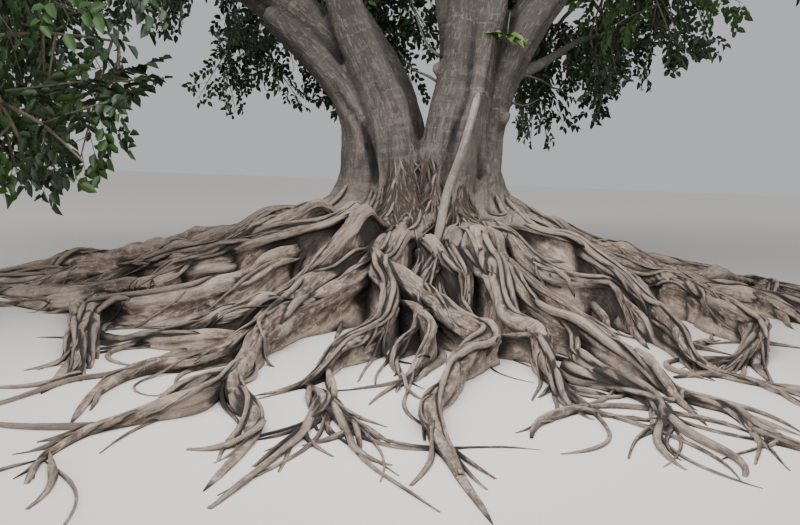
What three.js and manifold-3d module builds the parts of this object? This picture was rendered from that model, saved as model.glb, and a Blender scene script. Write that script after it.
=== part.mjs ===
// A banyan tree: a trunk of fused stems on a wide plate of surface roots, the boughs, and the masses of foliage.
// Millimetres, +Z up. The origin is on the flat cut at ground level, on the trunk's axis, and -Y is the front.
import * as THREE from "three";
import { mergeVertices } from "three/addons/utils/BufferGeometryUtils.js";
import Module from "manifold-3d";

const wasm = await Module();
wasm.setup();

// Driving dimensions. The tables give places and radii in metres, and bearings in degrees: 0 is along +X, and 270 is
// to the front.
const METRE = 1000;
const GAP = 0.3; // between neighbours that touch
const GROWTH = 0.4; // a limb is cut from its neighbour this much fatter, which leaves about GAP
const SCRAP = 0.02; // detail below this is left out
const SAME_SPOT = 1e-3; // corners this near each other are one

const FORK_HEIGHT = 1.75 * METRE; // where the trunk ends and the boughs part
const TRUNK_LEVELS = [1, 0.8, 0.6, 0.43, 0.28, 0.14, 0]; // of that height, where it has a section
const TRUNK_CORNERS = 60;
const WAIST_REACH = 0.92 * METRE; // the trunk's half width under the fork
const WAIST_TAPER = 0.1; // its loss there, between the stems
const STEM_TAPER = 0.12; // of each stem's circle, from the ground to the fork
const FLARE_REACH = 0.85 * METRE; // added to the half width at the ground
const FLARE_CURVE = 2.2;
const TRUNK_DEPTH = 0.92; // the trunk's depth over its width
const LOBE_REACH = 0.42 * METRE; // how far the flare runs out along a root
const LOBE_HEIGHT = 1.25 * METRE;
const LOBE_CURVE = 1.5;
const LOBE_WIDTH = 8; // degrees

const BOUGH_CORNERS = 8;
const BOUGH_RINGS = 7;
const LIMB_CORNERS = 6;
const LIMB_RINGS = 4;

// The stems that fuse into the trunk and part at the fork. Each way starts inside the trunk, and a bough ends where
// it enters its mass of foliage. The radii are those at its start and at its tip.
const BOUGHS = [
  {
    name: "bough_left_main",
    radii: [0.46, 0.26],
    way: [[-0.45, 0.3, 1.3], [-0.8, 0.32, 2.4], [-1.4, 0.28, 3.3], [-2.3, 0.15, 4.05], [-4.1, 0.4, 5]],
  },
  {
    name: "bough_left_prop",
    radii: [0.3, 0.22],
    way: [[-0.95, -0.1, 1.3], [-1.06, -0.12, 2.1], [-1.3, -0.12, 2.65], [-1.72, -0.1, 3.2], [-2.3, 0, 3.75]],
  },
  {
    name: "bough_left_inner",
    radii: [0.33, 0.14],
    way: [[-0.38, -0.35, 1.3], [-0.55, -0.3, 2.3], [-1.07, -0.12, 3.45], [-1.8, 0, 5.3], [-3, -0.9, 7.2]],
  },
  {
    name: "bough_centre",
    radii: [0.42, 0.2],
    way: [[0.2, -0.22, 1.3], [0.32, -0.2, 2.4], [0.64, 0, 4.1], [0.8, 0.15, 6], [0.3, 0.25, 9.45]],
  },
  {
    name: "bough_right",
    radii: [0.34, 0.2],
    way: [[0.64, 0.08, 1.3], [0.77, 0.12, 2.45], [1.28, 0.08, 3.75], [2.5, 0.1, 5.3], [4.3, 0.5, 6.7]],
  },
  {
    name: "bough_back_left",
    radii: [0.42, 0.2],
    way: [[-0.38, 0.6, 1.3], [-0.45, 0.95, 2.4], [-0.85, 1.6, 3.5], [-1.9, 3.6, 5.2]],
  },
  {
    name: "bough_back_right",
    radii: [0.4, 0.22],
    way: [[0.5, 0.6, 1.3], [0.8, 1.1, 2.4], [1.2, 2, 3.5], [1.95, 3.1, 4.75]],
  },
  {
    name: "bough_back",
    radii: [0.34, 0.16],
    way: [[0.25, 0.75, 1.3], [0.38, 1.5, 2.6], [0.4, 2.2, 4], [-0.4, 3.4, 7.3]],
  },
];

// Limbs that leave a bough above the fork, and the aerial root that hangs from the centre bough to the flare.
const LIMBS = [
  { name: "limb_left_front", radii: [0.2, 0.14], way: [[-2.5, 0.1, 4.15], [-3.1, -0.9, 4.75], [-4.1, -2.3, 4.7]] },
  { name: "limb_front", radii: [0.2, 0.14], way: [[0.7, 0.1, 4.9], [0.5, -1.3, 5.8], [0.15, -3.75, 6.55]] },
  { name: "limb_right_front", radii: [0.18, 0.14], way: [[2.3, 0.1, 5.1], [2.8, -0.9, 5.7], [3.7, -2.2, 6.2]] },
  { name: "limb_upper_right", radii: [0.18, 0.13], way: [[1.85, 0.05, 4.6], [2.2, 0.3, 6], [3.1, 0.8, 7.8]] },
  { name: "limb_upper_front", radii: [0.17, 0.13], way: [[0.8, 0.1, 5.7], [0.8, -0.9, 6.8], [1, -2.2, 7.9]] },
  { name: "branch_right_low", radii: [0.08, 0.05], way: [[1, 0.2, 3], [1.55, 0.75, 3.3], [2.7, 2.7, 4.1]] },
  { name: "aerial_root", radii: [0.06, 0.075], way: [[0.7, -0.3, 3.2], [0.38, -0.88, 1.95], [0.12, -1.12, 0.5]] },
];

const CREST_HEIGHT = 1.3 * METRE; // a root's crest one metre from the axis
const CREST_FALL = 0.46; // its decline per metre further out
const CREST_TOP = 1.5 * METRE;
const ROOT_TIP_HEIGHT = 45;
const TIP_CURVE = 4; // how late along a root its crest sinks to its tip
const ROOT_START = 0.8; // metres from the axis, inside the trunk
const FORK_SHARE = 0.5; // how far a fork is thinned where it leaves its root
const RIDGE = [[0, 1], [0.72, 0.66], [1.12, 0], [-1.12, 0], [-0.72, 0.66]]; // its section, in half widths and heights

// Surface roots as [distance from the axis, bearing] pairs, from the trunk to the tip. Each crest declines by one
// rule, times its rise, and a buttress also gains its swell per metre. The half widths are at the trunk and the tip.
const ROOTS = [
  {
    name: "root_left_far",
    rise: 1,
    swell: 0.27,
    half: [0.34, 0.12],
    way: [[ROOT_START, 176], [1.9, 178], [3.2, 176], [4.6, 174], [5.5, 176], [6.5, 180]],
  },
  {
    name: "root_left_upper",
    rise: 1.2,
    swell: 0.15,
    half: [0.22, 0.1],
    way: [[ROOT_START, 196], [2, 199], [3.3, 199], [4.6, 197], [6, 195]],
  },
  {
    name: "root_left_lower",
    rise: 1.3,
    half: [0.2, 0.08],
    way: [[ROOT_START, 212], [2.2, 214], [3.6, 217], [4.3, 211], [4.7, 212], [5.4, 203]],
  },
  {
    name: "root_left_bend",
    rise: 1.2,
    half: [0.18, 0.07],
    way: [[ROOT_START, 226], [2.2, 228], [3.6, 231], [4.2, 228], [4.5, 222], [4.9, 229], [5.4, 237], [6, 242]],
  },
  {
    name: "root_front_left_outer",
    rise: 1.1,
    half: [0.17, 0.07],
    way: [[ROOT_START, 240], [2.2, 243], [3.5, 245], [4.4, 248], [4.9, 247], [5.3, 244], [5.8, 245], [6.3, 248]],
    fork: [[4.3, 247], [4.6, 238], [4.8, 228]],
  },
  {
    name: "root_front_left",
    rise: 1,
    half: [0.16, 0.06],
    way: [[ROOT_START, 253], [2.24, 252], [3, 251], [3.8, 247.5], [4.7, 251], [5.4, 254], [5.9, 258], [6.8, 259]],
    fork: [[4.9, 252], [5.5, 250], [6, 251]],
  },
  {
    name: "root_front_middle",
    rise: 1,
    half: [0.13, 0.05],
    way: [[ROOT_START, 262], [2, 258], [2.5, 256.5], [2.85, 261], [3.8, 262], [4.35, 259], [5, 258], [5.35, 255]],
    fork: [[4.7, 259], [5.4, 261.5], [5.95, 263]],
  },
  {
    name: "root_front_hook",
    rise: 1,
    half: [0.14, 0.06],
    way: [[2.24, 252], [2.5, 258], [2.9, 267], [3.4, 272], [4, 277], [4.4, 273], [5, 270], [5.7, 269], [6.9, 271]],
  },
  {
    name: "root_front_leg",
    rise: 1.15,
    half: [0.22, 0.05],
    way: [[ROOT_START, 287], [1.6, 286], [2.6, 284], [3.4, 282], [3.9, 283.5], [4.3, 282], [4.7, 281], [5.3, 280]],
  },
  {
    name: "root_front_right",
    rise: 1.1,
    half: [0.2, 0.06],
    way: [[ROOT_START, 302], [2, 292], [2.8, 287.5], [3.5, 289], [4, 291], [4.8, 291.5], [5.2, 290], [5.7, 288]],
    fork: [[3.8, 290], [4.5, 285], [5.2, 287], [5.9, 283]],
  },
  {
    name: "root_right_curl",
    rise: 1.15,
    half: [0.16, 0.08],
    way: [[ROOT_START, 312], [2.2, 301], [2.7, 303], [3, 313], [3.3, 311], [3.9, 303]],
  },
  {
    name: "root_right_inner",
    rise: 1.2,
    half: [0.16, 0.07],
    way: [[ROOT_START, 324], [2, 322], [2.9, 318], [3.5, 313], [4, 307], [4.7, 300], [5.4, 302]],
  },
  {
    name: "root_right_loop",
    rise: 1.2,
    half: [0.18, 0.08],
    way: [[ROOT_START, 338], [2.2, 340], [3.1, 342], [3.7, 331], [4.3, 321], [4.7, 309], [5.1, 303]],
  },
  {
    name: "root_right_outer",
    rise: 1.3,
    half: [0.18, 0.08],
    way: [[ROOT_START, 352], [2.4, 354], [3.6, 351], [4.6, 344], [5.3, 333]],
  },
  {
    name: "root_right_far",
    rise: 1,
    swell: 0.2,
    half: [0.32, 0.12],
    way: [[ROOT_START, 8], [2.1, 15], [3, 17], [3.7, 14], [4.6, 10], [5.4, 3], [6, 352]],
  },
];

// The back is hidden in the photograph, so its roots follow a seeded rule.
const BACK_ROOTS = 8;
const BACK_BEARINGS = [32, 160]; // of the first and the last
const BACK_STEPS = [2, 3.2, 4.4]; // where such a root bends, on its way to its reach
const BACK_REACH = [5.2, 6.6];
const BACK_SWAY = 11; // degrees
const BACK_SHAPE = { rise: 1.2, half: [0.24, 0.09] };

// Masses of foliage: centre and half sizes across and up, and the limb whose tip each grows from.
const MASSES = [
  { name: "foliage_left_front", from: "limb_left_front", centre: [-5.6, -3, 3.5], across: 3.1, up: 2.8 },
  { name: "foliage_left", from: "bough_left_main", centre: [-7, 1.4, 5.5], across: 3.2, up: 2.9 },
  { name: "foliage_back_left", from: "bough_back_left", centre: [-2.9, 6.4, 6], across: 3.3, up: 2.9 },
  { name: "foliage_back_right", from: "bough_back_right", centre: [3.6, 5.6, 5.7], across: 3.3, up: 2.9 },
  { name: "foliage_right", from: "bough_right", centre: [7.2, 0.9, 7.4], across: 3.2, up: 2.8 },
  { name: "foliage_right_front", from: "limb_right_front", centre: [5.6, -4.4, 6.8], across: 3.2, up: 2.8 },
  { name: "foliage_front", from: "limb_front", centre: [0, -6.8, 6.8], across: 3.2, up: 2.8 },
  { name: "foliage_upper_left", from: "bough_left_inner", centre: [-3.7, -1.6, 9.2], across: 3.1, up: 2.5 },
  { name: "foliage_upper_back", from: "bough_back", centre: [-0.7, 3.9, 9.7], across: 3.1, up: 2.5 },
  { name: "foliage_upper_right", from: "limb_upper_right", centre: [3.7, 1.2, 9.8], across: 3.1, up: 2.5 },
  { name: "foliage_upper_front", from: "limb_upper_front", centre: [1.2, -3.8, 9.6], across: 3.1, up: 2.5 },
  { name: "foliage_top", from: "bough_centre", centre: [0.1, 0.2, 11.6], across: 3.1, up: 2.3 },
];
const MASS_MARGIN = 5; // that each keeps to the plane between two masses

const STEM_SHARE = 0.75; // the stem's radius over its limb's tip
const STEM_SUNK = 0.05; // where it starts, back along the limb's last stretch, before the limb is cut from it
const ARMS = 6; // in each mass, spread evenly over it
const ARMS_FROM = [0.2, 1]; // the stretch of the stem that they leave
const ARM_REACH = { most: 0.78, least: 0.35, step: 0.06 }; // of the mass's half size
const ARM_RADII = [52, 34];
const ARM_BEND = 0.55; // where an arm arches, and how much of its height it has won there
const ARM_ARCH = 0.1; // its rise there, of the mass's half height
const TWIG_CORNERS = 3;

const SPRAY_LENGTH = 1.7 * METRE; // each leaf stands for a spray
const SPRAY_WIDTH = 1.15 * METRE;
const SPRAY_THICKNESS = 32;
const SPRAYS_ALONG = [0.36, 0.54, 0.7, 0.85, 0.98]; // where an arm carries them
const SPRAY_TRIES = 5; // it turns on round the arm until it is clear
const SPRAY_LIFT = 0.12; // outward, over its length
const SPRAY_DROOP = 0.25;
const SPRAY_SUNK = 14; // behind the arm's middle
const GOLDEN_ANGLE = Math.PI * (3 - Math.sqrt(5));

const bark = new THREE.MeshStandardMaterial({ color: 0x8a8075, roughness: 0.9, metalness: 0 });
const rootBark = new THREE.MeshStandardMaterial({ color: 0x8f8378, roughness: 0.95, metalness: 0 });
const foliage = new THREE.MeshStandardMaterial({ color: 0x2f4a22, roughness: 0.5, metalness: 0 });

const UP = new THREE.Vector3(0, 0, 1);

function metres(length) {
  return length * METRE;
}

function place([x, y, z]) {
  return new THREE.Vector3(x, y, z).multiplyScalar(METRE);
}

function placeOnGround([reach, bearing]) {
  const angle = THREE.MathUtils.degToRad(bearing);
  return place([reach * Math.cos(angle), reach * Math.sin(angle), 0]);
}

// A repeatable number from 0 to 1.
function chance(a, b) {
  const wave = Math.sin(a * 127.1 + b * 311.7) * 43758.5453;
  return wave - Math.floor(wave);
}

function mix(pair, share) {
  return pair[0] + (pair[1] - pair[0]) * share;
}

// Solids

function solid(geometry) {
  const bare = geometry.index ? geometry.toNonIndexed() : geometry.clone();
  bare.deleteAttribute("normal");
  bare.deleteAttribute("uv");
  const merged = mergeVertices(bare, SAME_SPOT);
  const vertProperties = merged.getAttribute("position").array;
  const triVerts = new Uint32Array(merged.index.array);
  return new wasm.Manifold(new wasm.Mesh({ numProp: 3, vertProperties, triVerts }));
}

// The largest piece of what is left after a join or a cut, without the scraps.
function whole(manifold) {
  const pieces = manifold.decompose();
  pieces.sort((a, b) => b.volume() - a.volume());
  return pieces[0].simplify(SCRAP);
}

function mesh(name, manifold, material) {
  const made = manifold.getMesh();
  const geometry = new THREE.BufferGeometry();
  geometry.setAttribute("position", new THREE.BufferAttribute(made.vertProperties, 3));
  geometry.setIndex(new THREE.BufferAttribute(made.triVerts, 1));
  geometry.computeVertexNormals();
  const piece = new THREE.Mesh(geometry, material);
  piece.name = name;
  return piece;
}

// A closed tube of rings. corner(ring, k) places the k-th corner of a ring, and middle(ring) the centre of an end.
function loft(rings, corners, corner, middle) {
  const geometry = new THREE.CylinderGeometry(1, 1, 1, corners, rings);
  const position = geometry.getAttribute("position");
  for (let n = 0; n < position.count; n++) {
    const x = position.getX(n);
    const z = position.getZ(n);
    const ring = Math.round((0.5 - position.getY(n)) * rings);
    const k = Math.round((Math.atan2(x, z) / (2 * Math.PI)) * corners + corners) % corners;
    const spot = Math.hypot(x, z) < 0.5 ? middle(ring) : corner(ring, k);
    position.setXYZ(n, spot.x, spot.y, spot.z);
  }
  return solid(geometry);
}

// A round limb along a smooth curve, tapering from the first radius to the second. Growth makes it fatter, and
// longer at its tip.
function limb(points, radii, corners, rings, growth = 0) {
  const curve = new THREE.CatmullRomCurve3(points);
  const frames = curve.computeFrenetFrames(rings);
  const spots = curve.getSpacedPoints(rings);
  spots[rings].addScaledVector(frames.tangents[rings], growth);
  return loft(
    rings,
    corners,
    (ring, k) => {
      const angle = (2 * Math.PI * k) / corners;
      const radius = mix(radii, ring / rings) + growth;
      return spots[ring]
        .clone()
        .addScaledVector(frames.normals[ring], Math.sin(angle) * radius)
        .addScaledVector(frames.binormals[ring], Math.cos(angle) * radius);
    },
    (ring) => spots[ring],
  );
}

// Trunk

// How far the stem's circle reaches from the axis along a bearing at a height.
function stemReach(bough, bearing, height) {
  const foot = place(bough.way[0]);
  const radius = bough.radii[0] * METRE * (1 + STEM_TAPER * (1 - height / FORK_HEIGHT));
  const along = foot.x * Math.cos(bearing) + foot.y * Math.sin(bearing);
  const aside = foot.y * Math.cos(bearing) - foot.x * Math.sin(bearing);
  return Math.abs(aside) < radius ? along + Math.sqrt(radius ** 2 - aside ** 2) : 0;
}

function trunkReach(bearing, height, roots) {
  const drop = Math.max(0, 1 - height / FORK_HEIGHT);
  const depth = Math.hypot(Math.cos(bearing), Math.sin(bearing) * TRUNK_DEPTH);
  const waist = WAIST_REACH * (1 - WAIST_TAPER * (1 - drop));
  const skirt = (waist + FLARE_REACH * drop ** FLARE_CURVE) * depth;
  const stems = Math.max(...BOUGHS.map((bough) => stemReach(bough, bearing, height)));
  const low = Math.max(0, 1 - height / LOBE_HEIGHT) ** LOBE_CURVE;
  const lobes = roots.map((root) => {
    const turn = THREE.MathUtils.radToDeg(bearing) - root.way[0][1];
    const aside = THREE.MathUtils.euclideanModulo(turn + 180, 360) - 180;
    return Math.exp(-((aside / LOBE_WIDTH) ** 2));
  });
  return Math.max(skirt, stems) + LOBE_REACH * low * Math.max(...lobes);
}

function trunk(roots, growth = 0) {
  const level = (ring) => TRUNK_LEVELS[ring] * FORK_HEIGHT + (ring === 0 ? growth : 0);
  return loft(
    TRUNK_LEVELS.length - 1,
    TRUNK_CORNERS,
    (ring, k) => {
      const bearing = (2 * Math.PI * k) / TRUNK_CORNERS;
      const reach = trunkReach(bearing, level(ring), roots) + growth;
      return new THREE.Vector3(reach * Math.cos(bearing), reach * Math.sin(bearing), level(ring));
    },
    (ring) => new THREE.Vector3(0, 0, level(ring)),
  );
}

// Boughs and limbs

function boughSolid({ way, radii }, growth) {
  const full = limb(way.map(place), radii.map(metres), BOUGH_CORNERS, BOUGH_RINGS, growth);
  return full.trimByPlane([0, 0, 1], FORK_HEIGHT + GAP - growth);
}

function limbSolid({ way, radii }, growth) {
  return limb(way.map(place), radii.map(metres), LIMB_CORNERS, LIMB_RINGS, growth);
}

// Roots

function backRoots() {
  return Array.from({ length: BACK_ROOTS }, (_, n) => {
    const bearing = mix(BACK_BEARINGS, n / (BACK_ROOTS - 1));
    const reach = mix(BACK_REACH, chance(n, 1));
    const bends = [...BACK_STEPS, reach].map((r, k) => [r, bearing + BACK_SWAY * (chance(n, k + 3) - 0.5)]);
    return { name: `root_back_${n + 1}`, ...BACK_SHAPE, way: [[ROOT_START, bearing], ...bends] };
  });
}

function crest(reach, { rise, swell = 0 }) {
  const out = reach / METRE - 1;
  return Math.min(CREST_TOP, CREST_HEIGHT * Math.exp(-CREST_FALL * out) * (rise + swell * out));
}

// A ridge with a flat foot on the ground, along [distance, bearing] pairs, each with a section of its own. It thins
// from share to 1 of its length.
function ridge(root, way, share, growth) {
  const points = way.map(placeOnGround);
  const curve = new THREE.CatmullRomCurve3(points);
  const rings = points.length - 1;
  const size = (ring) => {
    const along = mix([share, 1], ring / rings);
    const fade = 1 - along ** TIP_CURVE;
    const height = ROOT_TIP_HEIGHT + (crest(points[ring].length(), root) - ROOT_TIP_HEIGHT) * fade;
    return { half: mix(root.half, along) * METRE + growth, height: height + growth };
  };
  return loft(
    rings,
    RIDGE.length,
    (ring, k) => {
      const aside = new THREE.Vector3().crossVectors(UP, curve.getTangent(ring / rings));
      const { half, height } = size(ring);
      const [out, up] = RIDGE[k];
      return points[ring].clone().addScaledVector(aside, out * half).setZ(up * height);
    },
    (ring) => points[ring].clone().setZ(size(ring).height / 2),
  );
}

function rootSolid(root, growth) {
  const main = ridge(root, root.way, 0, growth);
  return root.fork ? main.add(ridge(root, root.fork, FORK_SHARE, growth)) : main;
}

// Foliage

// A mass keeps inside its ellipsoid, and on its own side of a plane to each neighbour.
function spaceOf(mass) {
  const centre = place(mass.centre);
  const size = new THREE.Vector3(mass.across, mass.across, mass.up).multiplyScalar(METRE);
  const sides = MASSES.filter((other) => other !== mass).map((other) => {
    const away = place(other.centre).sub(centre);
    const share = mass.across / (mass.across + other.across);
    return { out: away.clone().normalize(), limit: away.length() * share - MASS_MARGIN };
  });
  const holds = (spot) => {
    const from = spot.clone().sub(centre);
    return from.clone().divide(size).length() <= 1 && sides.every(({ out, limit }) => from.dot(out) < limit);
  };
  return { centre, size, holds };
}

// Out of the mass at a spot, square to the ellipsoid.
function outwardAt(space, spot) {
  return spot.clone().sub(space.centre).divide(space.size).divide(space.size).normalize();
}

// One spray as a flat eight-sided blade, rooted inside its arm. It lies along the mass's surface, turned by angle.
function sprayAt(space, root, angle) {
  const outward = outwardAt(space, root);
  const level = new THREE.Vector3().crossVectors(UP, outward).normalize();
  const along = level.applyAxisAngle(outward, angle);
  along.addScaledVector(outward, SPRAY_LIFT).addScaledVector(UP, -SPRAY_DROOP).normalize();
  const across = new THREE.Vector3().crossVectors(along, outward).normalize();
  const facing = new THREE.Vector3().crossVectors(across, along);
  const middle = root.clone().addScaledVector(along, SPRAY_LENGTH / 2 - SPRAY_SUNK);
  const turn = new THREE.Matrix4().makeBasis(across, along, facing).setPosition(middle);
  const geometry = new THREE.OctahedronGeometry(1);
  geometry.scale(SPRAY_WIDTH / 2, SPRAY_LENGTH / 2, SPRAY_THICKNESS / 2).applyMatrix4(turn);
  return geometry;
}

function vertices(geometry) {
  const position = geometry.getAttribute("position");
  return Array.from({ length: position.count }, (_, n) => new THREE.Vector3().fromBufferAttribute(position, n));
}

// The way of arm n, from the stem to a tip that is spread evenly over the mass.
function armWay(space, stem, n, seed) {
  const level = 1 - (2 * n + 1) / ARMS;
  const turn = n * GOLDEN_ANGLE + seed;
  const round = Math.sqrt(1 - level ** 2);
  const heading = new THREE.Vector3(Math.cos(turn) * round, Math.sin(turn) * round, level).multiply(space.size);
  const start = stem.getPoint(mix(ARMS_FROM, (n + 0.5) / ARMS));
  for (let reach = ARM_REACH.most; reach > ARM_REACH.least; reach -= ARM_REACH.step) {
    const tip = space.centre.clone().addScaledVector(heading, reach);
    const bend = start.clone().lerp(tip, ARM_BEND).addScaledVector(UP, ARM_ARCH * space.size.z);
    if (space.holds(tip)) return new THREE.CatmullRomCurve3([start, bend, tip]);
  }
  return null;
}

// The spray at a root, turned on until it keeps inside its mass and clear of all the others.
function clearSpray(space, root, order, others) {
  for (let turn = order; turn < order + SPRAY_TRIES; turn++) {
    const blade = sprayAt(space, root, turn * GOLDEN_ANGLE);
    if (!vertices(blade).every(space.holds)) continue;
    const spray = solid(blade);
    if (others.every((other) => spray.intersect(other).isEmpty())) return spray;
  }
  return null;
}

function leafMass(mass, seed, limbs, taken) {
  const space = spaceOf(mass);
  const source = limbs.get(mass.from);
  const start = place(source.way.at(-1)).lerp(place(source.way.at(-2)), STEM_SUNK);
  const stemWay = new THREE.CatmullRomCurve3([start, space.centre]);
  const stemRadii = [metres(source.radii[1]) * STEM_SHARE, ARM_RADII[0]];
  const stem = limb(stemWay.points, stemRadii, TWIG_CORNERS, 1);
  const arms = Array.from({ length: ARMS }, (_, n) => armWay(space, stemWay, n, seed))
    .filter((way) => way !== null)
    .map((way) => ({ way, body: limb(way.points, ARM_RADII, TWIG_CORNERS, 2) }))
    .filter(({ body }) => body.intersect(taken).isEmpty());
  const sprays = [];
  arms.forEach((arm, n) => {
    const rest = arms.filter((other) => other !== arm).map(({ body }) => body);
    SPRAYS_ALONG.forEach((along, k) => {
      const root = arm.way.getPointAt(along);
      const order = n * SPRAYS_ALONG.length + k;
      const spray = clearSpray(space, root, order, [taken, stem, ...rest, ...sprays]);
      if (spray) sprays.push(spray);
    });
  });
  const grown = wasm.Manifold.union([stem, ...arms.map(({ body }) => body), ...sprays]);
  return whole(grown.subtract(taken));
}

// Assembly

const tree = new THREE.Group();
const roots = [...ROOTS, ...backRoots()];
tree.add(mesh("trunk", trunk(roots), bark));

// Each limb is cut clear of those before it.
const woody = [trunk(roots, GROWTH)];
for (const bough of BOUGHS) {
  const cleared = boughSolid(bough, 0).subtract(wasm.Manifold.union(woody));
  tree.add(mesh(bough.name, whole(cleared), bark));
  woody.push(boughSolid(bough, GROWTH));
}
for (const part of LIMBS) {
  const cleared = limbSolid(part, 0).subtract(wasm.Manifold.union(woody));
  tree.add(mesh(part.name, whole(cleared), bark));
  woody.push(limbSolid(part, GROWTH));
}
for (const root of roots) {
  const cleared = rootSolid(root, 0).subtract(wasm.Manifold.union(woody));
  tree.add(mesh(root.name, whole(cleared), rootBark));
  woody.push(rootSolid(root, GROWTH));
}

const limbs = new Map([...BOUGHS, ...LIMBS].map((part) => [part.name, part]));
const taken = wasm.Manifold.union(woody);
MASSES.forEach((mass, n) => tree.add(mesh(mass.name, leafMass(mass, n + 1, limbs, taken), foliage)));

export default tree;
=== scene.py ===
import math
from collections import namedtuple

import bpy
import numpy as np
from mathutils import Matrix, Vector
from mathutils.bvhtree import BVHTree


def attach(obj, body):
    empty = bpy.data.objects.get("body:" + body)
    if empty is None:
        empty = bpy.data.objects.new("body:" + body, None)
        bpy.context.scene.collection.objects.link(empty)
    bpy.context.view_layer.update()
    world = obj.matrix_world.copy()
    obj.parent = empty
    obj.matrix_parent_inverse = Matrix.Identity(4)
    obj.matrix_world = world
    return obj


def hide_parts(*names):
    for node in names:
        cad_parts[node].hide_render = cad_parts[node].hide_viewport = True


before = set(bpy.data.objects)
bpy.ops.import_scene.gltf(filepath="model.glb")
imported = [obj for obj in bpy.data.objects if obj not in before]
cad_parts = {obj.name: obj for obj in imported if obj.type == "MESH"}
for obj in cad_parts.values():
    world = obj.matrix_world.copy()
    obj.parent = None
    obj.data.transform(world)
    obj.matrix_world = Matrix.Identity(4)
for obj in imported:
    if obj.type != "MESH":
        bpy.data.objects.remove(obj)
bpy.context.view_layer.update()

# A banyan tree dressed in bark, winding roots, twigs and leaves. Metres, +Z up, -Y to the front. Bearings are
# in degrees: 0 is along +X, and 270 is to the front.

Stem = namedtuple("Stem", "radii way")
Root = namedtuple("Root", "rise half way swell fork share_from", defaults=(0.0, None, 0.0))
Mass = namedtuple("Mass", "carrier centre across up")
Bark = namedtuple("Bark", "tones streaks fibres rings flecks")
Spray = namedtuple("Spray", "root along across facing length width gap")

UP = np.array([0.0, 0.0, 1.0])
ON_GROUND = 0.002  # faces wholly below this lie on the ground, and are left out
GOLDEN_ANGLE = math.pi * (3 - math.sqrt(5))

# The stems that fuse into the trunk and part at the fork, as in the part's source: end radii, and way.
BOUGHS = {
    "bough_left_main": Stem([0.46, 0.26], [
        [-0.45, 0.3, 1.3], [-0.8, 0.32, 2.4], [-1.4, 0.28, 3.3], [-2.3, 0.15, 4.05], [-4.1, 0.4, 5]]),
    "bough_left_prop": Stem([0.3, 0.22], [
        [-0.9, -0.1, 1.3], [-0.94, -0.12, 2.1], [-1.18, -0.12, 2.65], [-1.66, -0.1, 3.2], [-2.3, 0, 3.75]]),
    "bough_left_inner": Stem([0.33, 0.14], [
        [-0.38, -0.35, 1.3], [-0.55, -0.3, 2.3], [-1.07, -0.12, 3.45], [-1.8, 0, 5.3], [-3, -0.9, 7.2]]),
    "bough_centre": Stem([0.42, 0.2], [
        [0.2, -0.22, 1.3], [0.32, -0.2, 2.4], [0.64, 0, 4.1], [0.8, 0.15, 6], [0.3, 0.25, 9.45]]),
    "bough_right": Stem([0.34, 0.2], [
        [0.64, 0.08, 1.3], [0.77, 0.12, 2.45], [1.28, 0.08, 3.75], [2.5, 0.1, 5.3], [4.3, 0.5, 6.7]]),
    "bough_back_left": Stem([0.42, 0.2], [
        [-0.38, 0.6, 1.3], [-0.45, 0.95, 2.4], [-0.85, 1.6, 3.5], [-1.9, 3.6, 5.2]]),
    "bough_back_right": Stem([0.4, 0.22], [
        [0.5, 0.6, 1.3], [0.8, 1.1, 2.4], [1.2, 2, 3.5], [1.95, 3.1, 4.75]]),
    "bough_back": Stem([0.34, 0.16], [
        [0.25, 0.75, 1.3], [0.38, 1.5, 2.6], [0.4, 2.2, 4], [-0.4, 3.4, 7.3]]),
}
LIMBS = {
    "limb_left_front": Stem([0.2, 0.14], [[-2.5, 0.1, 4.15], [-3.1, -0.9, 4.75], [-4.1, -2.3, 4.7]]),
    "limb_front": Stem([0.2, 0.14], [[0.7, 0.1, 4.9], [0.5, -1.3, 5.8], [0.15, -3.75, 6.55]]),
    "limb_right_front": Stem([0.18, 0.14], [[2.3, 0.1, 5.1], [2.8, -0.9, 5.7], [3.7, -2.2, 6.2]]),
    "limb_upper_right": Stem([0.18, 0.13], [[1.85, 0.05, 4.6], [2.2, 0.3, 6], [3.1, 0.8, 7.8]]),
    "limb_upper_front": Stem([0.17, 0.13], [[0.8, 0.1, 5.7], [0.8, -0.9, 6.8], [1, -2.2, 7.9]]),
    "branch_right_low": Stem([0.08, 0.05], [[1, 0.2, 3], [1.55, 0.75, 3.3], [2.7, 2.7, 4.1]]),
}
AERIAL_ROOT = Stem([0.06, 0.075], [[0.7, -0.3, 3.2], [0.38, -0.88, 1.95], [0.12, -1.12, 0.5]])

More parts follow.
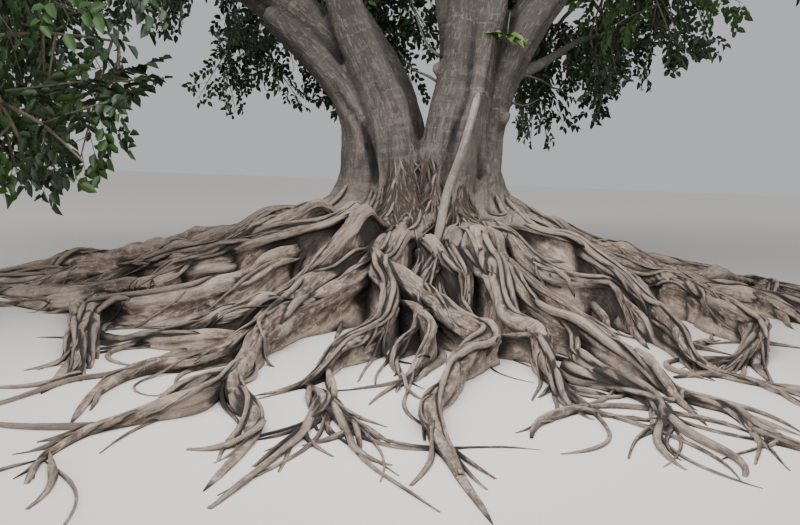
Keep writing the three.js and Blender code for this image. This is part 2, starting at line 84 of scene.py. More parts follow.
# Surface roots: rise, half widths at the trunk and the tip, and way as [distance from the axis, bearing]
# pairs. Each crest declines by one rule, times its rise, and a buttress also gains its swell per metre.
CREST_HEIGHT = 1.3
CREST_FALL = 0.46
CREST_TOP = 1.3  # no crest is higher, but for its climb at the stems
ROOT_START = 0.8
ROOT_TIP = 0.045
ROOTS = {
    "root_left_far": Root(1, [0.34, 0.12], [
        [ROOT_START, 176], [1.9, 178], [3.2, 176], [4.6, 174], [5.5, 176], [6.5, 180]], swell=0.27),
    "root_left_upper": Root(1.2, [0.22, 0.1], [
        [ROOT_START, 196], [2, 199], [3.3, 199], [4.6, 197], [6, 195]], swell=0.15),
    "root_left_lower": Root(1.3, [0.2, 0.08], [
        [ROOT_START, 212], [2.2, 214], [3.6, 217], [4.3, 211], [4.7, 212], [5.4, 203]]),
    "root_left_bend": Root(1.2, [0.18, 0.07], [
        [ROOT_START, 226], [2.2, 228], [3.6, 231], [4.2, 228], [4.5, 222], [4.9, 229], [5.4, 237],
        [6, 242]]),
    "root_front_left_outer": Root(1.1, [0.17, 0.07], [
        [ROOT_START, 240], [2.2, 243], [3.5, 245], [4.4, 248], [4.9, 247], [5.3, 244], [5.8, 245],
        [6.3, 248]], fork=[[4.3, 247], [4.6, 238], [4.8, 228]]),
    "root_front_left": Root(1, [0.16, 0.06], [
        [ROOT_START, 253], [2.24, 252], [3, 251], [3.8, 247.5], [4.7, 251], [5.4, 254], [5.9, 258],
        [6.8, 259]], fork=[[4.9, 252], [5.5, 250], [6, 251]]),
    "root_front_middle": Root(1, [0.13, 0.05], [
        [ROOT_START, 262], [2, 258], [2.5, 256.5], [2.85, 261], [3.8, 262], [4.35, 259], [5, 258],
        [5.35, 255]], fork=[[4.7, 259], [5.4, 261.5], [5.95, 263]]),
    "root_front_hook": Root(1, [0.14, 0.06], [
        [2.24, 252], [2.5, 258], [2.9, 267], [3.4, 272], [4, 277], [4.4, 273], [5, 270], [5.7, 269],
        [6.9, 271]]),
    "root_front_leg": Root(1.15, [0.22, 0.05], [
        [ROOT_START, 287], [1.6, 286], [2.6, 284], [3.4, 282], [3.9, 283.5], [4.3, 282], [4.7, 281],
        [5.3, 280]]),
    "root_front_right": Root(1.1, [0.2, 0.06], [
        [ROOT_START, 302], [2, 292], [2.8, 287.5], [3.5, 289], [4, 291], [4.8, 291.5], [5.2, 290],
        [5.7, 288]], fork=[[3.8, 290], [4.5, 285], [5.2, 287], [5.9, 283]]),
    "root_right_curl": Root(1.15, [0.16, 0.08], [
        [ROOT_START, 312], [2.2, 301], [2.7, 303], [3, 313], [3.3, 311], [3.9, 303]]),
    "root_right_inner": Root(1.2, [0.16, 0.07], [
        [ROOT_START, 324], [2, 322], [2.9, 318], [3.5, 313], [4, 307], [4.7, 300], [5.4, 302]]),
    "root_right_loop": Root(1.2, [0.18, 0.08], [
        [ROOT_START, 338], [2.2, 340], [3.1, 342], [3.7, 331], [4.3, 321], [4.7, 309], [5.1, 303]]),
    "root_right_outer": Root(1.3, [0.18, 0.08], [
        [ROOT_START, 352], [2.4, 354], [3.6, 351], [4.6, 344], [5.3, 333]]),
    "root_right_far": Root(1, [0.32, 0.12], [
        [ROOT_START, 8], [2.1, 15], [3, 17], [3.7, 14], [4.6, 10], [5.4, 3], [6, 352]], swell=0.2),
}
BACK_ROOTS = 8
BACK_BEARINGS = [32, 160]
BACK_STEPS = [2, 3.2, 4.4]
BACK_REACH = [5.2, 6.6]
BACK_SWAY = 11
BACK_RISE = 1.2
BACK_HALF = [0.24, 0.09]

# Masses of foliage: the limb whose tip each grows from, its centre, and its half sizes across and up.
MASSES = {
    "foliage_left_front": Mass("limb_left_front", [-5.6, -3, 3.5], 3.1, 2.8),
    "foliage_left": Mass("bough_left_main", [-7, 1.4, 5.5], 3.2, 2.9),
    "foliage_back_left": Mass("bough_back_left", [-2.9, 6.4, 6], 3.3, 2.9),
    "foliage_back_right": Mass("bough_back_right", [3.6, 5.6, 5.7], 3.3, 2.9),
    "foliage_right": Mass("bough_right", [7.2, 0.9, 7.4], 3.2, 2.8),
    "foliage_right_front": Mass("limb_right_front", [5.6, -4.4, 6.8], 3.2, 2.8),
    "foliage_front": Mass("limb_front", [0, -6.8, 6.8], 3.2, 2.8),
    "foliage_upper_left": Mass("bough_left_inner", [-3.7, -1.6, 9.2], 3.1, 2.5),
    "foliage_upper_back": Mass("bough_back", [-0.7, 3.9, 9.7], 3.1, 2.5),
    "foliage_upper_right": Mass("limb_upper_right", [3.7, 1.2, 9.8], 3.1, 2.5),
    "foliage_upper_front": Mass("limb_upper_front", [1.2, -3.8, 9.6], 3.1, 2.5),
    "foliage_top": Mass("bough_centre", [0.1, 0.2, 11.6], 3.1, 2.3),
}
MASS_MARGIN = 0.005
STEM_SHARE = 0.75  # of its limb's tip radius, that a mass's stem starts with
STEM_SUNK = 0.05  # of that limb's last stretch, that the stem starts inside
ARMS = 6
ARMS_FROM = [0.2, 1]
ARM_REACH = {"most": 0.78, "least": 0.35, "step": 0.06}
ARM_RADII = [0.052, 0.02]
ARM_SPOTS = 9
MASS_STEM_CORNERS = 8
ARM_CORNERS = 6
SIDE_ARM_CORNERS = 4
ARM_BEND = 0.55  # of its length, where it arches
ARM_ARCH = 0.1
SPRAY_LENGTH = 1.7
SPRAY_WIDTH = 1.15
SPRAYS_ALONG = [0.36, 0.54, 0.7, 0.85, 0.98]
SPRAY_TRIES = 5
SPRAY_LIFT = 0.12
SPRAY_DROOP = 0.25


# Numbers

def chance(a, b):
    """A repeatable number from 0 to 1, by the source's rule."""
    wave = math.sin(a * 127.1 + b * 311.7) * 43758.5453
    return wave - math.floor(wave)


def mix(pair, share):
    return pair[0] + (pair[1] - pair[0]) * share


def ramp(value, start, end):
    """From 0 at the start to 1 at the end, and no further."""
    return np.clip((value - start) / (end - start), 0, 1)


def pick(span, a, b, power=1):
    """A repeatable number in a span, nearer to its start with a power above 1."""
    return mix(span, chance(a, b) ** power)


def weighted(shares, *parts):
    return sum(share * part for share, part in zip(shares, parts))


def unit(vectors):
    return vectors / np.maximum(np.linalg.norm(vectors, axis=-1, keepdims=True), 1e-9)


def lattice(cells, seed):
    """A number from -1 to 1 for each whole-numbered cell."""
    x, y, z = (cells[..., n].astype(np.int64) for n in range(3))
    mixed = (x * 374761393 + y * 668265263 + z * 1440662683 + seed * 974634777) & 0xFFFFFFFF
    mixed = ((mixed ^ (mixed >> 13)) * 1274126177) & 0xFFFFFFFF
    mixed = ((mixed ^ (mixed >> 16)) * 2246822519) & 0xFFFFFFFF
    return ((mixed ^ (mixed >> 15)) & 0xFFFFFF) / float(0x7FFFFF) - 1


def noise(spots, seed=0):
    """Smooth noise from -1 to 1 at spots, one cell to a unit."""
    cell = np.floor(spots)
    part = spots - cell
    ease = part**3 * (part * (part * 6 - 15) + 10)
    total = np.zeros(spots.shape[:-1])
    for corner in range(8):
        bits = np.array([corner & 1, corner >> 1 & 1, corner >> 2 & 1])
        share = np.prod(np.where(bits, ease, 1 - ease), axis=-1)
        total += share * lattice(cell + bits, seed)
    return total


def stacked(*parts):
    return np.stack(np.broadcast_arrays(*parts), axis=-1).astype(float)


def on_ground(pairs):
    """Places for [distance from the axis, bearing] pairs."""
    reach, bearing = np.array(pairs, float).T
    turn = np.radians(bearing)
    return stacked(reach * np.cos(turn), reach * np.sin(turn), 0 * reach)


WAY_DIVISIONS = 200


class Way:
    """A smooth centripetal curve through points, as the source's curves are."""

    def __init__(self, points):
        self.points = np.asarray(points, float)
        self.shares = np.linspace(0, 1, WAY_DIVISIONS + 1)
        steps = np.linalg.norm(np.diff(self.at(self.shares), axis=0), axis=1)
        self.lengths = np.concatenate([[0], np.cumsum(steps)])
        self.length = self.lengths[-1]

    def at(self, share):
        p = self.points
        last = len(p) - 1
        t = np.clip(np.asarray(share, float), 0, 1) * last
        k = np.minimum(t.astype(int), last - 1)
        w = (t - k)[..., None]
        ends = np.vstack([2 * p[0] - p[1], p, 2 * p[-1] - p[-2]])
        a, b, c, d = (ends[k + n] for n in range(4))
        ab, bc, cd = (np.sum((v - u) ** 2, axis=-1)[..., None] ** 0.25 for u, v in ((a, b), (b, c), (c, d)))
        leave = ((b - a) / ab - (c - a) / (ab + bc) + (c - b) / bc) * bc
        enter = ((c - b) / bc - (d - b) / (bc + cd) + (d - c) / cd) * bc
        return b + w * leave + w**2 * (3 * (c - b) - 2 * leave - enter) + w**3 * (2 * (b - c) + leave + enter)

    def evenly(self, share):
        """Points at shares of the length."""
        return self.at(np.interp(np.asarray(share) * self.length, self.lengths, self.shares))


def drawn(points, count):
    """A line of spots on a smooth curve through points, and the share of its length at each."""
    share = np.linspace(0, 1, count)
    return Way(points).evenly(share), share


def reach_of(line):
    """The distance of each spot from the axis."""
    return np.hypot(line[:, 0], line[:, 1])


def level_heading(turn):
    return math.cos(turn), math.sin(turn), 0


def bearing_of(spot):
    return math.degrees(math.atan2(spot[1], spot[0]))


# Meshes

class Shell:
    """Vertices, faces and values at the vertices, gathered from many sweeps."""

    def __init__(self):
        self.spots = []
        self.faces = []
        self.values = {}
        self.count = 0

    def add(self, spots, faces, **values):
        spots = spots.reshape(-1, 3)
        self.faces += [f + self.count for f in faces]
        self.spots.append(spots)
        self.count += len(spots)
        for name, value in values.items():
            self.values.setdefault(name, []).append(value.reshape(len(spots), -1))

    def parts(self):
        return np.concatenate(self.spots), self.faces

    def mesh(self, name):
        made = bpy.data.meshes.new(name)
        spots, faces = self.parts()
        corners = np.concatenate([f.ravel() for f in faces])
        sizes = np.concatenate([np.full(len(f), f.shape[1]) for f in faces])
        made.vertices.add(len(spots))
        made.vertices.foreach_set("co", spots.astype(np.float32).ravel())
        made.loops.add(len(corners))
        made.loops.foreach_set("vertex_index", corners.astype(np.int32))
        made.polygons.add(len(sizes))
        starts = np.concatenate([[0], np.cumsum(sizes)[:-1]])
        made.polygons.foreach_set("loop_start", starts.astype(np.int32))
        made.update(calc_edges=True)
        for key, parts in self.values.items():
            keep_values(made, key, np.concatenate(parts))
        return made


def keep_values(made, name, values):
    """Numbers or vectors for each vertex, as an attribute that the materials read."""
    values = values.reshape(len(made.vertices), -1).astype(np.float32)
    kind, key = ("FLOAT_VECTOR", "vector") if values.shape[1] == 3 else ("FLOAT", "value")
    made.attributes.new(name, kind, "POINT").data.foreach_set(key, values.ravel())


def read(items, key, kind, width):
    """What a mesh keeps for its items, as rows of that width."""
    values = np.empty(len(items) * width, kind)
    items.foreach_get(key, values)
    return values.reshape(-1, width)


def spots_of(made):
    return read(made.vertices, "co", np.float32, 3).astype(float)


def normals_of(made):
    return read(made.vertex_normals, "vector", np.float32, 3).astype(float)


def edges_of(made):
    return read(made.edges, "vertices", np.int32, 2)


def quads_of(made):
    return read(made.loops, "vertex_index", np.int32, 1).reshape(-1, 4)


def neighbour_mean(values, edges):
    """The mean of each vertex's neighbours."""
    count = np.bincount(edges.ravel(), minlength=len(values))
    a, b = edges.T
    total = [
        np.bincount(a, values[b, n], len(values)) + np.bincount(b, values[a, n], len(values))
        for n in range(values.shape[1])
    ]
    return np.stack(total, axis=1) / np.maximum(count, 1)[:, None]


HOLLOW_SCALE = 14
HOLLOW_ROUNDS = 5


def mark_hollows(made):
    """Keeps how far each vertex lies in a groove (1) or on a ridge (-1), for painted shade in the grooves and
    paler ridges.
    """
    spots = spots_of(made)
    edges = edges_of(made)
    soft = spots
    for _ in range(HOLLOW_ROUNDS):
        soft = neighbour_mean(soft, edges)
    depth = np.sum((soft - spots) * normals_of(made), axis=1)[:, None]
    depth = neighbour_mean(depth, edges)
    keep_values(made, "hollow", np.clip(depth * HOLLOW_SCALE, -1, 1))


def shade_smooth(made):
    made.polygons.foreach_set("use_smooth", np.ones(len(made.polygons), bool))


def placed(name, data):
    """A new object in the scene."""
    thing = bpy.data.objects.new(name, data)
    bpy.context.scene.collection.objects.link(thing)
    return thing


def piece(name, made, material, nodes):
    """An object of the tree, riding on its one body in place of the CAD nodes."""
    made.materials.append(material)
    thing = placed(name, made)
    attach(thing, "root")
    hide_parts(*nodes)


def sweep_faces(rings, corners, closed):
    """Quads between the rings of a sweep, round a closed section or along an open one."""
    ring, k = np.meshgrid(np.arange(rings - 1), np.arange(corners if closed else corners - 1), indexing="ij")
    a = ring * corners + k
    b = ring * corners + (k + 1) % corners
    return np.stack([a, b, b + corners, a + corners], axis=-1).reshape(-1, 4)


def caps(rings, corners):
    """One face over each end of a sweep with a closed section."""
    start = np.arange(corners)[::-1][None, :]
    return [start, start[:, ::-1] + (rings - 1) * corners]


BACK = np.array([0.0, 1.0, 0.0])
LEAST_SIDE = 0.3  # below it, a line starts out too nearly along BACK to take its sides from that


def carried_frames(line):
    """Tangents and two sides at each spot, turned as little as possible from ring to ring."""
    tangents = unit(np.gradient(line, axis=0))
    sides = np.empty_like(line)
    side = np.cross(BACK, tangents[0])
    if np.linalg.norm(side) < LEAST_SIDE:
        side = np.cross(UP, tangents[0])
    for n, tangent in enumerate(tangents):
        side = unit(side - tangent * np.dot(side, tangent))
        sides[n] = side
    return tangents, sides, np.cross(tangents, sides)


def distances_along(line):
    return np.concatenate([[0], np.cumsum(np.linalg.norm(np.diff(line, axis=0), axis=1))])


def tube(shell, line, radii, corners, relief=None, mark=0.0):
    """A closed round sweep. The relief adds to its radius, by the distance along, the turn and the mark."""
    _, side, other = carried_frames(line)
    turn = np.arange(corners) * 2 * np.pi / corners
    along = distances_along(line)
    radius = np.broadcast_to(np.asarray(radii, float), len(line))[:, None] * np.ones(corners)
    if relief:
        radius = radius + relief(along[:, None], turn[None, :], radius, mark)
    out = side[:, None] * np.cos(turn)[:, None] + other[:, None] * np.sin(turn)[:, None]
    spots = line[:, None] + out * radius[..., None]
    spots[..., 2] = np.maximum(spots[..., 2], 0)
    round_it = (turn / (2 * np.pi))[None, :] * radius * 2 * np.pi
    grain = stacked(round_it, along[:, None], mark)
    faces = [sweep_faces(len(line), corners, True), *caps(len(line), corners)]
    height = spots[..., 2].ravel()
    shell.add(spots, [f[height[f].max(axis=1) > ON_GROUND] for f in faces], grain=grain)


# Bark relief. The last number of each noise is its seed, and the others are how fine it is.

CREASE_CURVE = 0.6  # below 1, strands are round and the creases between them sharp


def creases(spots, seed):
    """From 0 in a crease to about 1 on the back of a strand."""
    return np.abs(noise(spots, seed)) ** CREASE_CURVE


STEM_RELIEF = [0.07, 0.012, 0.04]  # of the radius, for grooves, rings and lumps
ROOT_RELIEF = [0.7, 0.3, 0.2, 0.7]  # of the half width, for ropes, lumps, gnarls and knots
TRUNK_RELIEF = [0.016, 0.004]  # metres, for lumps and rings
TRUNK_GROOVES = 0.024
TRUNK_GROOVES_LOW = 0.034  # more, at the ground


def flute_relief(along, turn, radius, mark):
    """Grooves up a stem, rings across it and lumps."""
    around = stacked(np.cos(turn) * 1.5, np.sin(turn) * 1.5, along * 0.4 + mark * 9.1)
    grooves = creases(around, 3) - 0.5
    rings = noise(stacked(np.cos(turn) * 0.5, np.sin(turn) * 0.5, along * 6.5 + mark * 3.3), 7)
    lumps = noise(stacked(np.cos(turn), np.sin(turn), along * 1.7 + mark * 5.7), 9)
    return radius * weighted(STEM_RELIEF, grooves, rings, lumps)


# Roots

ROPE_SHARE = 0.64  # of a root's skin, from its top down each side, that wraps its round back
ROPE_TURN = math.radians(128)
ROPE_DEPTH = 0.6
FOOT_SPREAD = 0.04
FOOT_LEAN = 0.07
FLARE_LEAN = 0.3  # of its height above FLARE_FROM
FLARE_FROM = 0.5
ROOT_STEP = 0.085
ROOT_THINNED = 0.4  # a root's loss of width at its tip, under the solids' own
TIP_STRETCH = 1.2  # metres over which a root sinks into the ground at its tip
TIP_LEAST = 0.03
TIP_CURVE = 0.8
TIP_WIDTH = 0.5  # of its width there, that it keeps
TIP_ROUND = 0.16  # metres over which its end is rounded off
TIP_DIPS = [0.11, 0.3]  # how much its height varies, at the trunk and the tip
HALF_VARIES = 0.24
EMERGE_STRETCH = 0.65  # metres over which it comes out of the trunk, of another root or of the ground
EMERGE_CURVE = 1.5
EMERGE_FREE = 0.08  # of its full height, where it comes out of the ground
BELOW_PARENT = 0.74  # of another root's height, where it leaves that
EMERGE_GAIN = 0.45  # of its full height, that it may gain after either
BY_TRUNK = 0.95  # metres from the axis, within which a root that starts there has a ridge in the trunk's skin
NEAR_TRUNK = 1.5  # metres from the axis
INNER_START = 0.55  # metres from the axis, where a root that starts near the trunk begins in its core
SUNK_TO = [1.0, 1.9]  # metres from the axis, between which roots come out of the flare
SUNK_SHARES = {"height": 0.78, "half": 0.8}  # of its height and half width, that a root has further in
EMERGE_WIDTH = 0.18  # of its half width, that it starts with
FRONT_DIP = 0.3  # of its height, beside the front stems, whose feet stand before it
FRONT_SHARE = 1.4  # over how far it lies to the front
DIP_TO = 1.8  # metres from the axis
ROOT_SWAY = 0.05
BACK_ROOT_SWAY = 0.14
CLIMB = 0.8  # a crest's rise where it meets the stems
CLIMB_FROM = 1.3  # metres from the axis
FRONT_CLIMB = 0.4  # of that, in front
RELIEF_MOST = 0.2  # the half width above which the relief grows no more
RELIEF_FROM = 0.1  # the height below which the relief gets less
RELIEF_LEAST = 0.2  # of it, that stays
FIBRE_RELIEF = 0.014
STRAND_WIDTH = 0.09  # of the strands that fuse into a root
STRANDS_A_SIDE = [2, 5.5]
SKIN_GIRTH = [2.2, 0.6]  # of the half width and the height, that a side's skin measures
CORNERS_PER_STRAND = 3
CORNERS_FOR = 70  # per cent of a root's spots have no more strands than its corners hold


def crest(reach, rise, swell=0.0):
    """A crest's height by its distance from the axis."""
    out = reach - 1
    return np.minimum(CREST_TOP, CREST_HEIGHT * np.exp(-CREST_FALL * out) * (rise + swell * out))


def root_heights(root, line, along):
    """A root's heights at spots along its line, by their shares of its length."""
    reach = reach_of(line)
    heights = ROOT_TIP + (crest(reach, root.rise, root.swell) - ROOT_TIP) * (1 - along**4)
    front = np.clip(-FRONT_SHARE * line[:, 1] / np.maximum(reach, 0.1), 0, 1)
    heights = heights * (1 - FRONT_DIP * front * ramp(reach, DIP_TO, ROOT_START))
    climb = CLIMB * mix([1, FRONT_CLIMB], front)
    return heights + climb * ramp(reach, CLIMB_FROM, ROOT_START) ** 2


def root_relief(along, side, half, strands, mark):
    """Fused strands that wander along the root, finer fibres, lumps and knots."""
    bend = noise(stacked(along * 0.8, side * 0.7, mark * 3.1), 13)
    ropes = creases(stacked(along * 0.6, side * strands + bend * 1.4, mark * 5.3), 17)
    fibres = creases(stacked(along * 1.5, side * strands * 2.4 + bend * 3, mark * 2.3), 19)
    lumps = noise(stacked(along * 2.3, side * 1.5, mark * 7.7), 11)
    gnarls = noise(stacked(along * 4.6, side * 2.6, mark * 6.7), 12)
    knots = np.clip(noise(stacked(along * 3.1, side * 1.8, mark * 9.7), 23) - 0.4, 0, 1)
    swell = weighted(ROOT_RELIEF, ropes - 0.5, lumps, gnarls, knots)
    return np.minimum(half, RELIEF_MOST) * swell + FIBRE_RELIEF * (fibres - 0.5)


def root_skin(shell, line, heights, halves, mark, corners=None):
    """One root: a round back on a skirt that stands on the ground."""
    strands = np.clip(weighted(SKIN_GIRTH, halves, heights) / STRAND_WIDTH, *STRANDS_A_SIDE)
    corners = corners or 2 * int(CORNERS_PER_STRAND * np.percentile(strands, CORNERS_FOR)) + 1
    tangents = unit(np.gradient(line, axis=0))
    sideways = unit(np.cross(UP, tangents))[:, None]
    side = np.linspace(-1, 1, corners)[None, :]
    down = np.abs(side)
    turn = np.clip(down / ROPE_SHARE, 0, 1) * ROPE_TURN
    skirt = ramp(down, ROPE_SHARE, 1)
    height = heights[:, None]
    half = halves[:, None]
    depth = np.minimum(half, ROPE_DEPTH * height)
    along = distances_along(line)[:, None]
    bumps = root_relief(along, side, half, strands[:, None], mark)
    bumps = bumps * np.clip(height / RELIEF_FROM, RELIEF_LEAST, 1)
    lean = FOOT_LEAN * height + FLARE_LEAN * np.maximum(0, height - FLARE_FROM)
    across = half * np.sin(turn) + skirt * (FOOT_SPREAD * half + lean)
    across += bumps * np.where(skirt > 0, 1, np.sin(turn))
    edge = height - depth * (1 - math.cos(ROPE_TURN))
    back = height - depth * (1 - np.cos(turn)) + bumps * np.cos(turn)
    up = np.maximum(np.where(skirt > 0, edge * (1 - skirt), back), 0)
    up[:, [0, -1]] = 0
    spots = line[:, None] + sideways * (np.sign(side) * across)[..., None] + up[..., None] * UP
    rings = len(line)
    feet = np.arange(rings - 1) * corners
    under = np.stack([feet + corners - 1, feet, feet + corners, feet + 2 * corners - 1], axis=-1)
    grain = stacked(side * (half + 0.5 * height), along, mark)
    skin = sweep_faces(rings, corners, False)
    shell.add(spots, [skin[:, ::-1], under[:, ::-1], *caps(rings, corners)], grain=grain)


def ground_line(pairs, step, sway=0.0, mark=0.0):
    """Spots along the ground through [distance, bearing] pairs, swaying to the sides."""
    way = Way(on_ground(pairs))
    count = max(4, int(way.length / step))
    share = np.linspace(0, 1, count)
    line = way.evenly(share)
    if sway:
        along = share * way.length
        ends = np.sin(np.pi * np.clip(share, 0, 1)) ** 0.5
        aside = unit(np.cross(UP, unit(np.gradient(line, axis=0))))
        wave = noise(stacked(along * 1.5, mark * 4.7, 0.5), 29)
        ripple = noise(stacked(along * 3.7, mark * 2.9, 0.5), 31)
        line = line + aside * ((wave + 0.5 * ripple) * ends * sway)[:, None]
    return line, share


def add_root(shell, root, mark, sway=0.0, parent_height=None):
    """One root, from the trunk or, at that height, from another root or the ground."""
    inner = [[INNER_START, root.way[0][1]]] if root.way[0][0] < NEAR_TRUNK else []
    line, share = ground_line(inner + root.way, ROOT_STEP, sway, mark)
    along = mix([root.share_from, 1], share)
    free = ramp(reach_of(line), *SUNK_TO)
    metres = distances_along(line)
    dips = mix(TIP_DIPS, along**2) * noise(stacked(metres * 1.7, mark * 6.1, 0.2), 37)
    heights = root_heights(root, line, along) * (1 + dips)
    halves = mix(root.half, along) * (1 - ROOT_THINNED * along**2)
    halves = halves * (1 + HALF_VARIES * noise(stacked(metres * 1.4, mark * 8.3, 0.7), 41))
    left = metres[-1] - metres
    tip = np.clip(left / TIP_STRETCH, TIP_LEAST, 1) ** TIP_CURVE
    rounded = np.clip(left / TIP_ROUND, TIP_LEAST, 1) ** 0.5
    out = np.sin(ramp(metres, 0, EMERGE_STRETCH) * np.pi / 2) ** EMERGE_CURVE
    start = 1
    if parent_height is not None:
        start = min(1, max(EMERGE_FREE, BELOW_PARENT * parent_height / heights[0]))
    heights = heights * mix([start, min(1, start + EMERGE_GAIN)], out) * tip
    heights *= mix([SUNK_SHARES["height"], 1], free)
    halves = halves * mix([EMERGE_WIDTH, 1], out) * mix([TIP_WIDTH, 1], tip) * rounded
    halves *= mix([SUNK_SHARES["half"], 1], free)
    root_skin(shell, line, heights, halves, mark)


def back_roots():
    """Roots behind the trunk, which the photograph doesn't show."""
    made = {}
    for n in range(BACK_ROOTS):
        bearing = mix(BACK_BEARINGS, n / (BACK_ROOTS - 1))
        steps = [*BACK_STEPS, pick(BACK_REACH, n, 1)]
        bends = [[r, bearing + BACK_SWAY * (chance(n, k + 3) - 0.5)] for k, r in enumerate(steps)]
        made[f"root_back_{n + 1}"] = Root(BACK_RISE, BACK_HALF, [[ROOT_START, bearing], *bends])
    return made


# More roots that show in the photograph, finer than the part's own.
FINE_ROOTS = [
    Root(1.5, [0.13, 0.06], [[1.2, 243], [2, 239], [2.4, 229], [3.2, 211], [4, 199], [5.3, 206]]),
    Root(1.5, [0.12, 0.05], [[1.2, 247], [2.3, 245], [2.7, 243], [3.1, 239], [3.6, 227]]),
    Root(1.4, [0.1, 0.05], [[3.3, 245], [3.8, 244], [4.3, 243], [4.5, 232]]),
    Root(1.4, [0.12, 0.06], [[1.1, 218], [3.6, 218], [3.9, 220], [4.3, 211], [4.7, 213], [5.4, 200]]),
    Root(1.2, [0.1, 0.04], [[4.6, 213], [4.8, 225], [5.1, 232], [5.5, 239], [6, 242]]),
    Root(1, [0.07, 0.04], [[5.2, 252], [5.8, 253], [6.3, 250], [7, 251]]),
    Root(1, [0.08, 0.04], [[5, 258], [5.2, 260], [5.5, 261], [6, 261]]),
    Root(1, [0.07, 0.04], [[5.2, 260], [5.5, 262], [5.7, 264], [5.9, 266]]),
    Root(1, [0.1, 0.05], [[3.8, 277], [4, 282], [4.3, 282], [4.7, 281], [5.2, 280]]),
    Root(1.1, [0.09, 0.05], [[5, 291], [5.3, 291], [5.5, 292], [5.9, 290]]),
    Root(1, [0.1, 0.05], [[4, 287], [4.55, 284], [4.9, 286], [5.3, 287], [5.8, 284]]),
    Root(1, [0.06, 0.04], [[5.8, 275], [5.4, 278], [5.3, 280], [5.4, 282], [5.6, 286]]),
    Root(1.5, [0.12, 0.06], [[3.6, 351], [4.9, 363], [4.65, 347], [4.7, 335]]),
    Root(1, [0.09, 0.04], [[4.7, 295], [4.8, 300], [5, 301], [5.4, 302]]),
    Root(1.3, [0.12, 0.06], [[1.2, 312], [2.2, 314], [2.5, 329], [3, 328], [3.6, 312]]),
    Root(1.2, [0.1, 0.05], [[3.1, 342], [3.4, 334], [3.7, 331], [4, 323], [4.5, 318], [4.8, 300]]),
    Root(1, [0.08, 0.05], [[3.9, 306], [4, 309], [4.1, 314], [4.1, 319]]),
    Root(1, [0.08, 0.04], [[3.6, 246], [4, 243], [4.3, 240], [4.6, 236], [5.1, 233]]),
    Root(1, [0.07, 0.04], [[2.9, 262], [3.3, 266], [3.7, 267], [4.1, 265], [4.6, 266]]),
    Root(1, [0.07, 0.04], [[3.2, 271], [3.5, 268], [3.9, 270], [4.3, 268], [4.9, 266]]),
    Root(1, [0.07, 0.04], [[1.4, 271], [1.9, 274], [2.3, 271], [2.9, 274], [3.4, 279]]),
    Root(1, [0.07, 0.04], [[1.4, 279], [1.9, 277], [2.5, 279], [3.1, 277], [3.7, 281]]),
    Root(1, [0.07, 0.04], [[1.4, 265], [1.9, 267], [2.4, 264], [2.9, 267], [3.3, 262]]),
    Root(1.2, [0.15, 0.07], [[3.6, 196], [5, 193], [6.2, 191], [7.3, 195]]),
    Root(1.2, [0.15, 0.07], [[3.8, 180], [5.2, 182], [6.4, 185], [7.5, 182]]),
    Root(1.2, [0.12, 0.06], [[3.4, 206], [4.6, 203], [5.7, 198], [6.8, 202]]),
    Root(1.2, [0.15, 0.07], [[3.7, 13], [5, 6], [6, 359], [7.2, 355]]),
    Root(1.2, [0.12, 0.06], [[3.6, 350], [4.8, 346], [5.8, 340], [6.8, 339]]),
]
FINE_SWAY = 0.08
FORK_FROM = 0.7  # of its root's length, where a fork begins to thin

# Strands that lie side by side under the crests, all round the trunk.
STRANDS = 66
STRAND_REACH = [2.5, 5.6]
STRAND_RISE = [0.6, 1.0]
STRAND_HALF = [[0.08, 0.14], [0.03, 0.05]]
STRAND_TURN = 16  # degrees that it wanders
STRAND_STEPS = 6
STRAND_SWAY = 0.14

# From which bearing to which each piece of the root plate goes.
SIDES = {"left": (165, 236), "front": (236, 300), "right": (300, 383), "back": (23, 165)}


def side_of(bearing):
    """The piece of the root plate that a bearing falls in."""
    for name, (low, high) in SIDES.items():
        if low <= bearing % 360 < high or low <= bearing % 360 + 360 < high:
            return name
    return "back"


def strand_ways():
    """The strands as roots of their own."""
    for n in range(STRANDS):
        bearing = 360 * (n + 0.7 * chance(n, 51)) / STRANDS
        reach = pick(STRAND_REACH, n, 52, 1.5)
        pairs = []
        turn = bearing
        for k in range(STRAND_STEPS):
            share = k / (STRAND_STEPS - 1)
            turn += STRAND_TURN * (chance(n, 60 + k) - 0.5) * min(1, share * 2)
            pairs.append([mix([ROOT_START + 0.1, reach], share), turn])
        half = [pick(STRAND_HALF[0], n, 53), pick(STRAND_HALF[1], n, 54)]
        yield Root(pick(STRAND_RISE, n, 55), half, pairs)


def plate_parts(plates):
    return [plate["shell"].parts() for plate in plates.values()]


def root_plates(trunk_part):
    """The root plate's skins by side with the CAD nodes that each replaces, and the ways of all its roots."""
    plates = {side: {"shell": Shell(), "nodes": []} for side in SIDES}
    named = {**ROOTS, **back_roots()}
    strands = list(strand_ways())
    for mark, (name, root) in enumerate(named.items(), 1):
        plate = plates[side_of(root.way[2][1])]
        plate["nodes"].append(name)
        add_root(plate["shell"], root, mark, BACK_ROOT_SWAY if name.startswith("root_back") else ROOT_SWAY)
    skin = skin_tree([trunk_part, ground_square(), *plate_parts(plates)])
    forks = [root._replace(way=root.fork, share_from=FORK_FROM) for root in named.values() if root.fork]
    for mark, root in enumerate(forks + FINE_ROOTS, 100):
        below = skin_below(skin, on_ground(root.way[:1])[0])
        plate = plates[side_of(root.way[2][1])]
        add_root(plate["shell"], root, mark, FINE_SWAY, below.z)
    for mark, root in enumerate(strands, 200):
        add_root(plates[side_of(root.way[3][1])]["shell"], root, mark, STRAND_SWAY)
    return plates, [*named.values(), *forks, *FINE_ROOTS, *strands]


# Vines: thin roots that run down the trunk, over the other roots and along the ground

